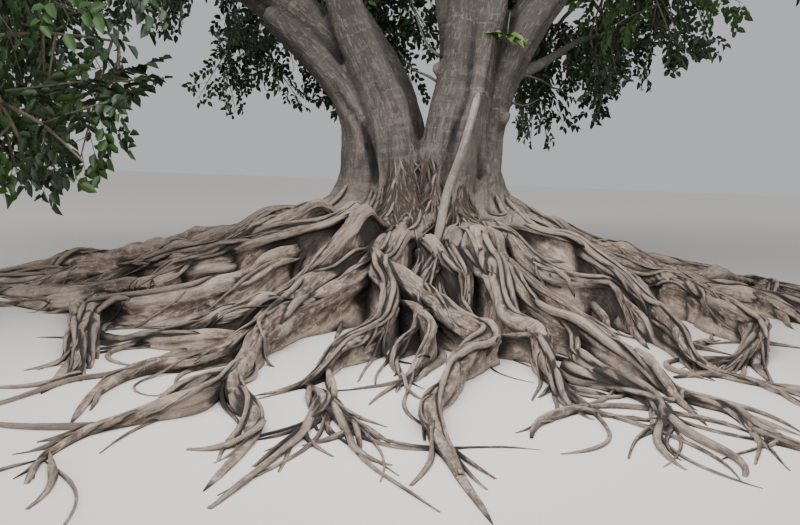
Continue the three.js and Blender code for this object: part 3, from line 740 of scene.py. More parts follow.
VINE_STEP = 0.08
VINE_SPOTS = 7  # the fewest
STEEP_DROP = 0.13
VINE_CORNERS = 5
VINE_WANDER = 0.42
VINE_WAVE = 0.15  # of a bend, at each step
VINE_LIFT = 0.4  # of its radius, that its middle stands off what it lies on
VINE_SOFTENED = 3
UNDERSIDE = -0.5  # below this, a normal points down
VINE_ENDS = {0: 1.6, 1: 0.9, 2: 0.3, -4: 0.2, -3: 0.5, -2: 0.9, -1: 1.5}  # radii that these spots are sunk
VINE_SWELL = 0.3  # how much its radius varies
VINE_TO = [0.25, 0.4]  # of its radius, at its start and its tip
VINE_START = 0.3  # metres over which it comes out of the wood
ON_WOOD = 0.05  # where a companion starts, it lies higher than this
ABOVE_GROUND = 0.015  # where a runner or toe starts, what it lies on is higher than this
VINE_FADE = 0.6  # of its length, over which it thins
OUTWARD_PULL = 0.05
GROUND_REACH = 12.0
TRUNK_VINES = 90
TRUNK_VINES_SEEN_FROM = 3  # metres from the axis, where their starts are looked for
TRUNK_VINE_REACH = 2.6  # from the origin, that no start passes
TRUNK_VINE_TOP = [0.6, 1.7]
TRUNK_VINE_LENGTH = [0.9, 3.2]
TRUNK_VINE_RADII = [0.014, 0.042]
TRUNK_VINE_FALL = 0.4
RUNNERS = 210
RUNNER_FROM = [0.12, 0.85]
RUNNER_LENGTH = [0.8, 2.3]
RUNNER_LIMIT = 7.0  # metres from the axis, that few pass
RUNNER_RADII = [0.014, 0.045]
RUNNER_TURN = 0.55  # radians from its parent's heading, at most
RUNNER_FALL = 0.06
RUNNER_CLEAR = 1.3  # metres from the axis
RUNNER_AHEAD = 0.03  # of its parent's length, that gives its heading
RUNNER_SHARE = 0.5  # of its parent's half width, that its radius keeps to
RUNNER_ROOM = [0.3, 1]  # of its length, that the limit leaves it
TOES = 7  # at each root's end
TOE_FROM = [0.45, 0.88]
TOE_SPREAD = 1.3  # radians between the outermost
TOE_SHIFT = 0.3  # of that, that each may turn
TOE_BEFORE = 0.05  # of its root's length, that gives its heading
TOE_LENGTH = [0.6, 1.7]
TOE_RADII = [0.011, 0.028]
COMPANIONS = 3  # beside each root
COMPANION_FROM = [0.02, 0.4]
COMPANION_TO = [0.6, 0.97]
COMPANION_ASIDE = [0.2, 1.9]  # from the middle of its root, over its half width
COMPANION_SWAY = 0.05
COMPANION_RADII = [0.016, 0.045]
COMPANION_CLEAR = 1.15
ABOVE_ROOTS = Vector((0, 0, 1.9))
# Added to the number of a vine of each kind, for how it varies.
VINE_MARKS = {"trunk": 300.0, "runner": 400.0, "fibre": 700.0, "companion": 900.0, "toe": 1300.0}


def skin_tree(parts):
    """A search tree of skins, each as its spots and its lists of faces."""
    spots = []
    faces = []
    for part_spots, part_faces in parts:
        faces += [[corner + len(spots) for corner in face] for group in part_faces for face in group.tolist()]
        spots += part_spots.tolist()
    return BVHTree.FromPolygons(spots, faces)


def ground_square():
    """The ground that vines lie on, which isn't part of the tree."""
    r = GROUND_REACH
    return np.array([[-r, -r, 0], [r, -r, 0], [r, r, 0], [-r, r, 0.0]]), [np.array([[0, 1, 2, 3]])]


def skin_below(skin, spot):
    """The highest place of the skin at a spot on the ground."""
    return skin.ray_cast(Vector((spot[0], spot[1], 0)) + ABOVE_ROOTS, Vector((0, 0, -1)))[0]


def nearest_on(skin, spot):
    """The nearest place of the skin, and its normal, which is taken as upward on an underside."""
    near, normal, _, _ = skin.find_nearest(spot)
    return near, (normal if normal.z > UNDERSIDE else -normal)


def settled(skin, line, radius):
    """A vine's line, softened but kept out of the wood, with its ends sunk in."""
    for _ in range(VINE_SOFTENED):
        line[1:-1] = line[1:-1] / 2 + (line[:-2] + line[2:]) / 4
    for n, spot in enumerate(line):
        near, normal = nearest_on(skin, Vector(spot))
        if (Vector(spot) - near).dot(normal) < 0:
            line[n] = near + normal * radius * VINE_LIFT * 0.5
    for n, sunk in VINE_ENDS.items():
        line[n] -= np.array(nearest_on(skin, Vector(line[n]))[1]) * radius * sunk
    return line


def laid_on(skin, line, radii):
    """A line moved out of the wood, so that a root along it lies on its skin."""
    for n, (spot, radius) in enumerate(zip(line, radii)):
        near, normal = nearest_on(skin, Vector(spot))
        if (Vector(spot) - near).dot(normal) < radius * VINE_LIFT:
            line[n] = near + normal * radius * VINE_LIFT
    line[1:-1] = line[1:-1] / 2 + (line[:-2] + line[2:]) / 4
    return line


def vine_line(skin, start, heading, length, radius, fall, mark):
    """A line from start that keeps to the skin, wandering, falling and drawn outward."""
    count = max(VINE_SPOTS, int(length / VINE_STEP))
    turns = VINE_WANDER * noise(stacked(np.arange(count) * VINE_WAVE, mark * 4.7, 0.5), 61)
    spot = Vector(start)
    heading = Vector(heading)
    down = Vector((0, 0, -fall))
    spots = []
    for turn in turns.tolist():
        near, normal = nearest_on(skin, spot)
        outward = Vector((near.x, near.y, 0)).normalized() * OUTWARD_PULL
        heading = heading + normal.cross(heading) * turn + outward + down
        heading = (heading - normal * heading.dot(normal)).normalized()
        spots.append(near + normal * radius * VINE_LIFT)
        spot = spots[-1] + heading * VINE_STEP
    return settled(skin, np.array(spots), radius)


def add_vine(shell, line, radius, mark, start=VINE_START):
    """A thin root that comes out over a stretch at its start, and thins to its tip."""
    along = distances_along(line)
    swell = 1 + VINE_SWELL * noise(stacked(along * 3.4, mark * 3.9, 0.5), 67)
    out = ramp(along, 0, start)
    fade = np.clip((along[-1] - along) / (VINE_FADE * along[-1]), 0, 1)
    radii = radius * swell * mix([VINE_TO[0], 1], out) * mix([VINE_TO[1], 1], fade)
    tube(shell, line, radii, VINE_CORNERS, None, mark)


def lay_vine(plates, spot, line, radius, mark):
    """A vine as part of the side of the root plate that a spot lies on."""
    add_vine(plates[side_of(bearing_of(spot))]["shell"], line, radius, mark)


def trunk_vines(skin, plates):
    """Thin roots that run down the stems and the flare."""
    for n in range(TRUNK_VINES):
        bearing = 2 * math.pi * (n + 0.9 * chance(n, 101)) / TRUNK_VINES
        out = Vector(level_heading(bearing))
        height = pick(TRUNK_VINE_TOP, n, 102)
        start = skin.ray_cast(out * TRUNK_VINES_SEEN_FROM + Vector((0, 0, height)), -out)[0]
        if start is None or start.length > TRUNK_VINE_REACH:
            continue
        radius = pick(TRUNK_VINE_RADII, n, 103, 1.4)
        length = pick(TRUNK_VINE_LENGTH, n, 104)
        line = vine_line(skin, start, (0, 0, -1), length, radius, TRUNK_VINE_FALL, n + 0.3)
        lay_vine(plates, out, line, radius, VINE_MARKS["trunk"] + n)


def runners(skin, plates, parents):
    """Thin roots that leave the others and wind away over them."""
    for n in range(RUNNERS):
        parent = parents[int(chance(n, 71) * len(parents))]
        way = Way(on_ground(parent.way))
        share = pick(RUNNER_FROM, n, 72)
        here, ahead = way.evenly([share, min(1, share + RUNNER_AHEAD)])
        if math.hypot(here[0], here[1]) < RUNNER_CLEAR:
            continue
        start = skin_below(skin, here)
        if start.z < ABOVE_GROUND:
            continue
        turn = math.atan2(ahead[1] - here[1], ahead[0] - here[0]) + RUNNER_TURN * (2 * chance(n, 73) - 1)
        radius = min(pick(RUNNER_RADII, n, 74), RUNNER_SHARE * mix(parent.half, share))
        room = np.clip((RUNNER_LIMIT - math.hypot(here[0], here[1])) / 2, *RUNNER_ROOM)
        length = pick(RUNNER_LENGTH, n, 75) * room
        line = vine_line(skin, start, level_heading(turn), length, radius, RUNNER_FALL, n + 0.7)
        lay_vine(plates, start, line, radius, VINE_MARKS["runner"] + n)


def toes(skin, plates, parents):
    """The fine roots that each root ends in, spread over the ground."""
    for n, parent in enumerate(parents):
        way = Way(on_ground(parent.way))
        for k in range(TOES):
            seed = n * TOES + k
            share = pick(TOE_FROM, seed, 141)
            here, before = way.evenly([share, share - TOE_BEFORE])
            side = (k - (TOES - 1) / 2) / (TOES - 1) + TOE_SHIFT * (chance(seed, 142) - 0.5)
            turn = math.atan2(here[1] - before[1], here[0] - before[0]) + TOE_SPREAD * side
            radius = pick(TOE_RADII, seed, 143)
            length = pick(TOE_LENGTH, seed, 144, 1.5)
            start = skin_below(skin, here)
            if start.z < ABOVE_GROUND:
                continue
            line = vine_line(skin, start, level_heading(turn), length, radius, RUNNER_FALL, seed + 0.45)
            lay_vine(plates, here, line, radius, VINE_MARKS["toe"] + seed)


def longest_run(line):
    """The longest part of a line that has no steep drop."""
    drops = np.flatnonzero(np.abs(np.diff(line[:, 2])) > STEEP_DROP) + 1
    return max(np.split(line, drops), key=len)


def companions(skin, plates, parents):
    """Thin roots that run beside each root and down its flanks."""
    for n, parent in enumerate(parents):
        way = Way(on_ground(parent.way))
        for k in range(COMPANIONS):
            seed = n * COMPANIONS + k
            start, end = pick(COMPANION_FROM, seed, 131), pick(COMPANION_TO, seed, 132)
            share = np.linspace(start, end, max(VINE_SPOTS, int(way.length * (end - start) / VINE_STEP)))
            ground = way.evenly(share)
            aside = unit(np.cross(UP, np.gradient(ground, axis=0)))
            sway = COMPANION_SWAY * noise(stacked(share * way.length * 1.6, seed * 4.3, 0.5), 71)
            hand = (-1) ** k
            offset = pick(COMPANION_ASIDE, seed, 133) * mix(parent.half, share) * hand + sway
            radius = pick(COMPANION_RADII, seed, 134, 1.3)
            line = ground + aside * offset[:, None]
            line = line[reach_of(line) > COMPANION_CLEAR]
            for spot in line:
                spot[2] = skin_below(skin, spot).z + radius * VINE_LIFT
            line = longest_run(line)
            if len(line) < VINE_SPOTS or line[0, 2] < ON_WOOD:
                continue
            third = line[len(line) // 3].copy()
            lay_vine(plates, third, settled(skin, line, radius), radius, VINE_MARKS["companion"] + seed)


# Trunk

FORK_HEIGHT = 1.75
CORE_WAIST = 0.62
CORE_FLARE = 1.0
CORE_CURVE = 2.4
CORE_SKIRT = 0.75
CORE_SKIRT_CURVE = 9
CORE_LUMPS = 0.1
CORE_TOP = 0.2  # above the fork
CORE_LEVELS = 22
CORE_CORNERS = 90
TRUNK_TOP = 4.35
TRUNK_OVERLAP = [0.25, 0.15]  # how far below and above there the boughs' piece starts and the trunk's ends
TRUNK_VOXEL = 0.042
TRUNK_SOFTENED = 2
RIDGES_TO = 2.3  # metres from the axis, where the roots' ridges leave the trunk's skin
RIDGES_FULL_TO = 1.2
RIDGES_SUNK = 0.85  # of their height, that they have at that end
RIDGE_END = 0.5  # metres over which they end
RIDGE_WIDTH = 1.05  # over their root's
RIDGE_STEP = 0.08
RIDGE_CORNERS = 15
FLOOR_SKIN = 0.03  # faces below this lie on the ground
STEM_FEET_FATTER = 0.3
STEM_FEET_CURVE = 1.5
STEM_STEP = 0.07
STEM_CORNERS = 22
LOBE_CORNERS = 14
RIB_CORNERS = 8
FRONT_STRAND_SPOTS = 44
KNOT_SPOTS = 6
LOBE_OFFSET = 0.36  # over a stem's radius
LOBE_SHARE = 0.7
LOBE_TWIST = 0.1  # radians a metre

# Where each stem spreads into the flare, from near the ground up to its first point.
STEM_FEET = {
    "bough_left_main": [[-1.15, 0.6, 0.3], [-0.72, 0.42, 0.8], [-0.5, 0.32, 1.3]],
    "bough_left_prop": [[-1.95, -0.55, 0.35], [-1.38, -0.32, 0.85], [-1.0, -0.16, 1.3]],
    "bough_left_inner": [[-0.6, -0.95, 0.4], [-0.5, -0.62, 0.9], [-0.42, -0.42, 1.3]],
    "bough_centre": [[0.14, -0.75, 0.4], [0.15, -0.5, 0.95], [0.18, -0.36, 1.3]],
    "bough_right": [[1.2, -0.4, 0.35], [0.86, -0.12, 0.85], [0.7, 0.02, 1.3]],
    "bough_back_left": [[-0.9, 1.4, 0.3], [-0.6, 0.95, 0.8], [-0.42, 0.68, 1.3]],
    "bough_back_right": [[1.15, 1.35, 0.3], [0.75, 0.95, 0.8], [0.55, 0.7, 1.3]],
    "bough_back": [[0.45, 1.6, 0.3], [0.35, 1.15, 0.8], [0.28, 0.85, 1.3]],
}

# The strands that each stem is fused from, by their turn round it: 0 is to the right, and 270 to the front.
LOBES = {
    "bough_left_main": [30, 150, 270],
    "bough_left_prop": [90, 250],
    "bough_left_inner": [40, 180, 300],
    "bough_centre": [90, 207, 335],
    "bough_right": [20, 140, 262],
    "bough_back_left": [30, 150, 270],
    "bough_back_right": [0, 120, 240],
    "bough_back": [60, 180, 300],
}

# More strands in front, beside the centre stem.
FRONT_STRANDS = [
    Stem([0.24, 0.2], [[0.16, -0.42, 1.2], [0.2, -0.36, 1.9], [0.3, -0.28, 2.5], [0.34, -0.15, 4.5]]),
    Stem([0.15, 0.2], [[0.4, -0.56, 1.2], [0.46, -0.48, 2.2], [0.62, -0.34, 3.1], [0.84, -0.12, 4.5]]),
    Stem([0.13, 0.11], [[0.78, -0.42, 1], [0.76, -0.3, 1.5], [0.77, -0.18, 2], [0.84, -0.06, 3]]),
]

# Grooves between the stems, in front.
GROOVES = [
    [
        [-1.41, -0.25, 2.86], [-1.19, -0.25, 2.53], [-0.95, -0.25, 2.22], [-0.78, -0.25, 1.73],
        [-0.7, -0.25, 1.26]],
    [[0.52, -0.6, 3.89], [0.48, -0.6, 3.26], [0.42, -0.6, 2.69], [0.3, -0.6, 2.23], [0.23, -0.6, 1.77]],
    [
        [0.82, -0.35, 3.45], [0.72, -0.35, 2.92], [0.66, -0.35, 2.39], [0.66, -0.35, 1.86],
        [0.67, -0.35, 1.45]],
]
GROOVE_SPOTS = 50
GROOVE_WIDTH = 0.035
GROOVE_DEPTHS = [0.085, 0.06, 0.03]
GROOVE_BEHIND = [0.35, 0.15]  # they fade out between these, going back
GROOVE_ENDS = 0.25  # over its length, how far a groove deepens from its ends

# Stubs of branches that fell, grown over by bark.
KNOTS = [
    Stem([0.2, 0.06], [[0.3, -0.1, 3], [0.1, -0.24, 3.05], [0.02, -0.3, 3.08]]),
    Stem([0.17, 0.11], [[0.84, 0, 2.52], [1.0, -0.03, 2.46], [1.08, -0.05, 2.42]]),
]


def core_reach(height):
    """How far the trunk's core reaches, between the stems and the roots."""
    drop = np.clip(1 - height / FORK_HEIGHT, 0, 1)
    return CORE_WAIST + CORE_FLARE * drop**CORE_CURVE + CORE_SKIRT * drop**CORE_SKIRT_CURVE


def trunk_core(shell):
    """The wood between the stems, which spreads to the ground."""
    heights = np.linspace(0.0, FORK_HEIGHT + CORE_TOP, CORE_LEVELS)[:, None]
    turn = np.arange(CORE_CORNERS)[None, :] * 2 * np.pi / CORE_CORNERS
    around = stacked(np.cos(turn) * 2.2, np.sin(turn) * 2.2, heights * 0.8)
    reach = core_reach(heights) * (1 + CORE_LUMPS * noise(around, 43))
    spots = stacked(np.cos(turn) * reach, np.sin(turn) * reach, heights)
    grain = stacked(turn * reach, heights, 0.0)
    faces = [sweep_faces(CORE_LEVELS, CORE_CORNERS, True), *caps(CORE_LEVELS, CORE_CORNERS)]
    shell.add(spots, faces, grain=grain)


def stem_line(name):
    """A bough's line and radii, from its foot among the roots to its tip."""
    bough = BOUGHS[name]
    way = Way(STEM_FEET[name] + bough.way[1:])
    count = int(way.length / STEM_STEP)
    line = way.evenly(np.linspace(0, 1, count))
    start = np.argmin(np.abs(line[:, 2] - bough.way[0][2]))
    share = ramp(np.arange(count), start, count - 1)
    low = ramp(np.arange(count), start, 0)
    return line, mix(bough.radii, share) * (1 + STEM_FEET_FATTER * low**STEM_FEET_CURVE)


def stem_lobes(name):
    """The lines and radii of the strands that a stem is fused from."""
    line, radii = stem_line(name)
    _, side, other = carried_frames(line)
    twist = distances_along(line) * LOBE_TWIST
    for degrees in LOBES[name]:
        turn = math.radians(degrees) + twist
        out = side * np.cos(turn)[:, None] + other * np.sin(turn)[:, None]
        yield line + out * (radii * LOBE_OFFSET)[:, None], radii * LOBE_SHARE


RIBS = 5  # strands down each stem, on its outer side
RIB_SPREAD = 3.4  # radians round the stem
RIB_TOP = [1.9, 3.4]
RIB_RADII = [0.04, 0.085]
RIB_LEVELS = [1, 0.82, 0.64, 0.5, 0.38, 0.28]  # of its top's height
RIB_SUNK = [1.6, 0.9, 0.7, 0.5, 0.4, 0.4]  # radii that its middle lies under the skin
RIB_ENDS = [[0.4, 0.6], [0.95, 0.15]]  # metres further out from the axis, and share of its height there
RIB_BELOW_TIP = 0.2
RIB_TURN = 0.16  # radians from level to level
RIB_SPOTS = 36


def outward(spot, reach):
    """A spot that much further from the axis."""
    return np.array(spot) * (1 + reach / math.hypot(*spot))


def rib_line(name, n, seed):
    """A strand that comes out of a stem, runs down it and out over the flare."""
    line, radii = stem_line(name)
    foot = STEM_FEET[name][0]
    turn = math.atan2(foot[1], foot[0]) + RIB_SPREAD * ((n + chance(seed, 161)) / RIBS - 0.5)
    radius = pick(RIB_RADII, seed, 162)
    top = min(pick(RIB_TOP, seed, 163), line[-1, 2] - RIB_BELOW_TIP)
    spots = []
    for level, sunk in zip(RIB_LEVELS, RIB_SUNK):
        near = np.argmin(np.abs(line[:, 2] - top * level))
        turn += RIB_TURN * (chance(seed, 164 + level) - 0.5)
        out = (radii[near] - radius * sunk) * np.array([math.cos(turn), math.sin(turn)])
        spots.append([*(line[near, :2] + out), top * level])
    low = spots[-1]
    spots += [[*outward(low[:2], reach), low[2] * level] for reach, level in RIB_ENDS]
    line, share = drawn(spots, RIB_SPOTS)
    return line, radius * (0.6 + 0.6 * np.sin(np.pi * np.clip(share * 1.1, 0, 1)))


FLUTES = 30
FLUTE_TOP = [0.8, 1.5]
FLUTE_RADII = [0.05, 0.1]
FLUTE_LEVELS = [1, 0.8, 0.6, 0.4, 0.2, 0.06]
FLUTE_SUNK = [2.2, 0.8, 0.5, 0.4, 0.4, 0.4]
FLUTE_TURN = 0.3  # radians from its bearing, below its top
FLUTE_SPOTS = 26


def flute_line(n):
    """A strand that comes out of the core between the stems, and runs down and out along the ground."""
    bearing = math.radians(360 * (n + 0.8 * chance(n, 91)) / FLUTES)
    top = pick(FLUTE_TOP, n, 92)
    radius = pick(FLUTE_RADII, n, 93)
    spots = []
    for k, (level, sunk) in enumerate(zip(FLUTE_LEVELS, FLUTE_SUNK)):
        turn = bearing + (chance(n, 94 + k) - 0.5) * FLUTE_TURN * (k > 0)
        reach = core_reach(top * level) - radius * sunk
        spots.append([reach * math.cos(turn), reach * math.sin(turn), top * level])
    line, share = drawn(spots, FLUTE_SPOTS)
    return line, radius * (0.5 + 0.7 * np.sin(np.pi * np.clip(share * 0.8 + 0.1, 0, 1)))


def voxel_mesh(shell, name, voxel, rounds):
    """The outer skin of overlapping closed sweeps, as one even mesh."""
    rough = placed(name, shell.mesh(name))
    remesh = rough.modifiers.new("skin", "REMESH")
    remesh.mode = "VOXEL"
    remesh.voxel_size = voxel
    smooth = rough.modifiers.new("soft", "SMOOTH")
    smooth.factor = 0.5
    smooth.iterations = rounds
    graph = bpy.context.evaluated_depsgraph_get()
    made = bpy.data.meshes.new_from_object(rough.evaluated_get(graph))
    old = rough.data
    bpy.data.objects.remove(rough)
    bpy.data.meshes.remove(old)
    return made


def connected_groups(count, edges):
    """For each vertex, the lowest number of a vertex that it is connected with."""
    group = np.arange(count)
    while True:
        low = np.minimum(group[edges[:, 0]], group[edges[:, 1]])
        joined = group.copy()
        np.minimum.at(joined, edges[:, 0], low)
        np.minimum.at(joined, edges[:, 1], low)
        joined = joined[joined]
        if np.array_equal(joined, group):
            return group
        group = joined


def outer_skin(made, name):
    """The largest connected part of a mesh, without its hidden pockets and the faces on the ground."""
    spots = spots_of(made)
    quads = quads_of(made)
    group = connected_groups(len(spots), edges_of(made))
    largest = np.argmax(np.bincount(group))
    keep = (group[quads[:, 0]] == largest) & (spots[quads, 2].max(axis=1) > FLOOR_SKIN)
    used, renumbered = np.unique(quads[keep], return_inverse=True)
    shell = Shell()
    shell.add(spots[used], [renumbered.reshape(-1, 4)])
    bpy.data.meshes.remove(made)
    return shell.mesh(name)


AT_ONCE = 4000  # spots, to save memory


def nearest_line(spots, lines):
    """Each spot's place beside, along and before the line that is nearest over its radius, and its number."""
    centres = np.concatenate([line for line, _ in lines])
    radii = np.concatenate([radius for _, radius in lines])
    along = np.concatenate([distances_along(line) for line, _ in lines])
    frames = [carried_frames(line) for line, _ in lines]
    sides = np.concatenate([f[1] for f in frames])
    others = np.concatenate([f[2] for f in frames])
    number = np.concatenate([np.full(len(line), n) for n, (line, _) in enumerate(lines)])
    best = np.empty(len(spots), int)
    squares = np.sum(centres**2, axis=1)
    for low in range(0, len(spots), AT_ONCE):
        some = spots[low:low + AT_ONCE]
        gap = np.sum(some**2, axis=1)[:, None] + squares - 2 * some @ centres.T
        best[low:low + AT_ONCE] = np.argmin(gap / radii**2, axis=1)
    away = spots - centres[best]
    beside, before = (np.sum(away * axes[best], axis=1) for axes in (sides, others))
    return stacked(beside, along[best], before), number[best]


def ridge_stubs(shell):
    """The inner ends of the roots' ridges, which fuse with the trunk."""
    for n, root in enumerate({**ROOTS, **back_roots()}.values()):
        if root.way[0][0] > BY_TRUNK:
            continue
        line, _ = ground_line(root.way, RIDGE_STEP)
        reach = reach_of(line)
        inner = reach < RIDGES_TO
        line = line[inner]
        out = ramp(reach[inner], RIDGES_FULL_TO, RIDGES_TO)
        heights = root_heights(root, line, np.zeros(len(line))) * mix([1, RIDGES_SUNK], out)
        heights *= np.clip((RIDGES_TO + 0.1 - reach[inner]) / RIDGE_END, 0.1, 1)
        halves = np.full(len(line), root.half[0] * RIDGE_WIDTH)
        root_skin(shell, line, heights, halves, 60.0 + n, RIDGE_CORNERS)
        yield line + UP * (heights * 0.5)[:, None], halves * 1.2


def trunk_mesh():
    """The stems, the flare and the inner ridges as one skin, up to above the fork."""
    shell = Shell()
    trunk_core(shell)
    lines = [stem_line(name) for name in BOUGHS]
    for n, name in enumerate(BOUGHS):
        for k, (line, radii) in enumerate(stem_lobes(name)):
            keep = line[:, 2] < TRUNK_TOP + TRUNK_OVERLAP[1]
            tube(shell, line[keep], radii[keep], STEM_CORNERS, flute_relief, n * 3.0 + k)
    for n, strand in enumerate(FRONT_STRANDS):
        line, share = drawn(strand.way, FRONT_STRAND_SPOTS)
        tube(shell, line, mix(strand.radii, share), STEM_CORNERS, flute_relief, n + 25.0)
    for knot in KNOTS:
        line, share = drawn(knot.way, KNOT_SPOTS)
        tube(shell, line, mix(knot.radii, share), LOBE_CORNERS)
    strands = [flute_line(n) for n in range(FLUTES)]
    strands += [rib_line(name, n, k * RIBS + n) for k, name in enumerate(BOUGHS) for n in range(RIBS)]
    for n, (line, radii) in enumerate(strands):
        tube(shell, line, radii, RIB_CORNERS, None, 20.0 + n)
    lines += ridge_stubs(shell)
    made = outer_skin(voxel_mesh(shell, "trunk_rough", TRUNK_VOXEL, TRUNK_SOFTENED), "trunk_skin")
    spots = spots_of(made)
    grain, number = nearest_line(spots, lines)
    spots = spots + normals_of(made) * trunk_relief(grain, number, spots)[:, None]
    spots[:, 2] = np.maximum(spots[:, 2], 0)
    made.vertices.foreach_set("co", spots.astype(np.float32).ravel())
    made.update()
    keep_values(made, "grain", grain)
    return made


def groove_depth(spots):
    """How deep each spot lies in a groove between the front stems."""
    deepest = np.zeros(len(spots))
    along = np.linspace(0, 1, GROOVE_SPOTS)
    depth = np.clip(np.minimum(along, 1 - along) / GROOVE_ENDS, 0, 1)
    for points, most in zip(GROOVES, GROOVE_DEPTHS):
        line = Way(points).evenly(along)
        gap = (spots[:, None, 0] - line[:, 0]) ** 2 + (spots[:, None, 2] - line[:, 2]) ** 2
        near = np.exp(-gap.min(axis=1) / GROOVE_WIDTH**2) * depth[gap.argmin(axis=1)]
        deepest = np.maximum(deepest, most * near)
    return deepest * ramp(spots[:, 1], *GROOVE_BEHIND)


def trunk_relief(grain, number, spots):
    """Grooves up the trunk's skin, lumps and rings, finer than its stems."""
    grooves = creases(grain * [4.2, 0.5, 4.2] + number[:, None] * 3.3, 47) - 0.5
    lumps = noise(spots * 2.6, 53)
    rings = noise(grain * [1.6, 8, 1.6], 59)
    low = ramp(spots[:, 2], FORK_HEIGHT, 0)
    grooves = (TRUNK_GROOVES + TRUNK_GROOVES_LOW * low) * grooves
    return grooves + TRUNK_RELIEF[0] * lumps + TRUNK_RELIEF[1] * rings - groove_depth(spots)


# Torn fibres of old aerial roots, where the stems part, and a scar above the hanging root
FIBRES = 300
FIBRE_CORNERS = [[[-0.68, -0.95, 1.95], [0.0, -0.9, 1.95]], [[0.28, -1.0, 1.6], [0.58, -0.95, 1.6]]]
FIBRE_SHARES = 0.78  # of them that lie at the left corner
FIBRE_SPREAD = [0.75, 0.35]  # metres down from there
FIBRE_DROP = [0.25, 0.8]
FIBRE_RADII = [0.008, 0.024]
FIBRE_START = 0.05
FIBRE_TURN = 1.7
FIBRE_FALL = 0.3
SCAR_SPOTS = 9
SCAR = Stem(0.042, [[0.74, -0.24, 3.3], [0.7, -0.33, 3.1], [0.63, -0.46, 2.8]])


def fibre_shell(skin):
    shell = Shell()
    for n in range(FIBRES):
        corner = int(n >= FIBRES * FIBRE_SHARES)
        start = mix(np.array(FIBRE_CORNERS[corner]), chance(n, 111))
        start = start - UP * FIBRE_SPREAD[corner] * chance(n, 112)
        near, _ = nearest_on(skin, Vector(start))
        radius = pick(FIBRE_RADII, n, 113, 2)
        heading = (FIBRE_TURN * (chance(n, 114) - 0.5), 0, -1)
        line = vine_line(skin, near, heading, pick(FIBRE_DROP, n, 115), radius, FIBRE_FALL, n + 0.1)
        add_vine(shell, line, radius, VINE_MARKS["fibre"] + n, FIBRE_START)
    scar, share = drawn(SCAR.way, SCAR_SPOTS)
    tube(shell, scar, SCAR.radii * np.sin(np.pi * (0.05 + 0.9 * share)), RIB_CORNERS, None, 800.0)
    return shell


# Boughs above the trunk's piece, and the limbs

LIMB_STEP = 0.1
LIMB_CORNERS = 16
LIMB_COLLAR = 0.5  # how much fatter a limb is where it leaves its bough
COLLAR_FALL = 9
LOW_BRANCH_ON = Stem(0.012, [[3.3, 3.7, 4.35], [3.7, 4.9, 4.5]])
TRUNK_TWIGS = [
    [[0.1, -0.05, 3.25], [-0.08, 0.02, 3.4], [-0.28, 0.2, 3.88], [-0.4, 0.35, 4.3]],
    [[0.1, -0.02, 2.9], [-0.06, 0.06, 3.0], [-0.3, 0.3, 3.14], [-0.5, 0.45, 3.4]],
    [[1, 0.15, 2.95], [1.26, 0.3, 3.09], [1.65, 0.75, 3.1], [2, 1.2, 3.04], [2.5, 1.7, 3.2]],
    [[1.1, 0.1, 2.7], [1.35, 0.35, 2.68], [1.6, 0.6, 2.8]],
]
TRUNK_TWIG_RADII = [0.024, 0.006]
TRUNK_TWIG_SPOTS = 14
TRUNK_TWIG_CORNERS = 7


def bough_mesh():
    """The stems above the trunk's piece, the limbs and the twigs on the trunk."""
    shell = Shell()
    for n, name in enumerate(BOUGHS):
        for k, (line, radii) in enumerate(stem_lobes(name)):
            keep = line[:, 2] > TRUNK_TOP - TRUNK_OVERLAP[0]
            if keep.sum() > 3:
                tube(shell, line[keep][::2], radii[keep][::2], LOBE_CORNERS, flute_relief, n * 3.0 + k)
    for n, (name, limb) in enumerate(LIMBS.items()):
        points = limb.way
        radii = limb.radii
        if name == "branch_right_low":
            points = points + LOW_BRANCH_ON.way
            radii = [radii[0], LOW_BRANCH_ON.radii]
        way = Way(points)
        share = np.linspace(0, 1, int(way.length / LIMB_STEP))
        fat = mix(radii, share) * (1 + LIMB_COLLAR * np.exp(-share * COLLAR_FALL))
        tube(shell, way.evenly(share), fat, LIMB_CORNERS, flute_relief, n + 31.0)
    for n, points in enumerate(TRUNK_TWIGS):
        line, share = drawn(points, TRUNK_TWIG_SPOTS)
        tube(shell, line, mix(TRUNK_TWIG_RADII, share), TRUNK_TWIG_CORNERS, flute_relief, n + 51.0)
    return shell.mesh("boughs_skin")


HANGING_WIDTH = 0.8  # over its solid's
HANGING_TOP = [0.74, -0.12, 3.45]  # inside the centre stem, where the aerial root leaves it
HANGING_FOOT = [[0.38, -0.9, 1.95], [0.2, -1.08, 1.4], [0.1, -1.32, 0.85], [0.02, -1.5, 0.5]]
HANGING_THINNED = 3.0  # the height where it is thinnest
HANGING_STRETCH = 0.4
HANGING_LEAST = 0.3
HANGING_STEP = 0.04
HANGING_FREE = 2.0  # the height down to which it hangs free


def aerial_root_mesh(skin):
    """The root that hangs from the centre stem and runs down the flare."""
    shell = Shell()
    way = Way([HANGING_TOP, AERIAL_ROOT.way[0], *HANGING_FOOT])
    share = np.linspace(0, 1, int(way.length / HANGING_STEP))
    line = way.evenly(share)
    radii = HANGING_WIDTH * mix(AERIAL_ROOT.radii, share)
    radii *= np.clip((HANGING_THINNED - line[:, 2]) / HANGING_STRETCH, HANGING_LEAST, 1)
    low = line[:, 2] < HANGING_FREE
    line[low] = laid_on(skin, line[low], radii[low])
    tube(shell, line, radii, LIMB_CORNERS, flute_relief, 17.0)
    return shell.mesh("aerial_root_skin")


# Foliage

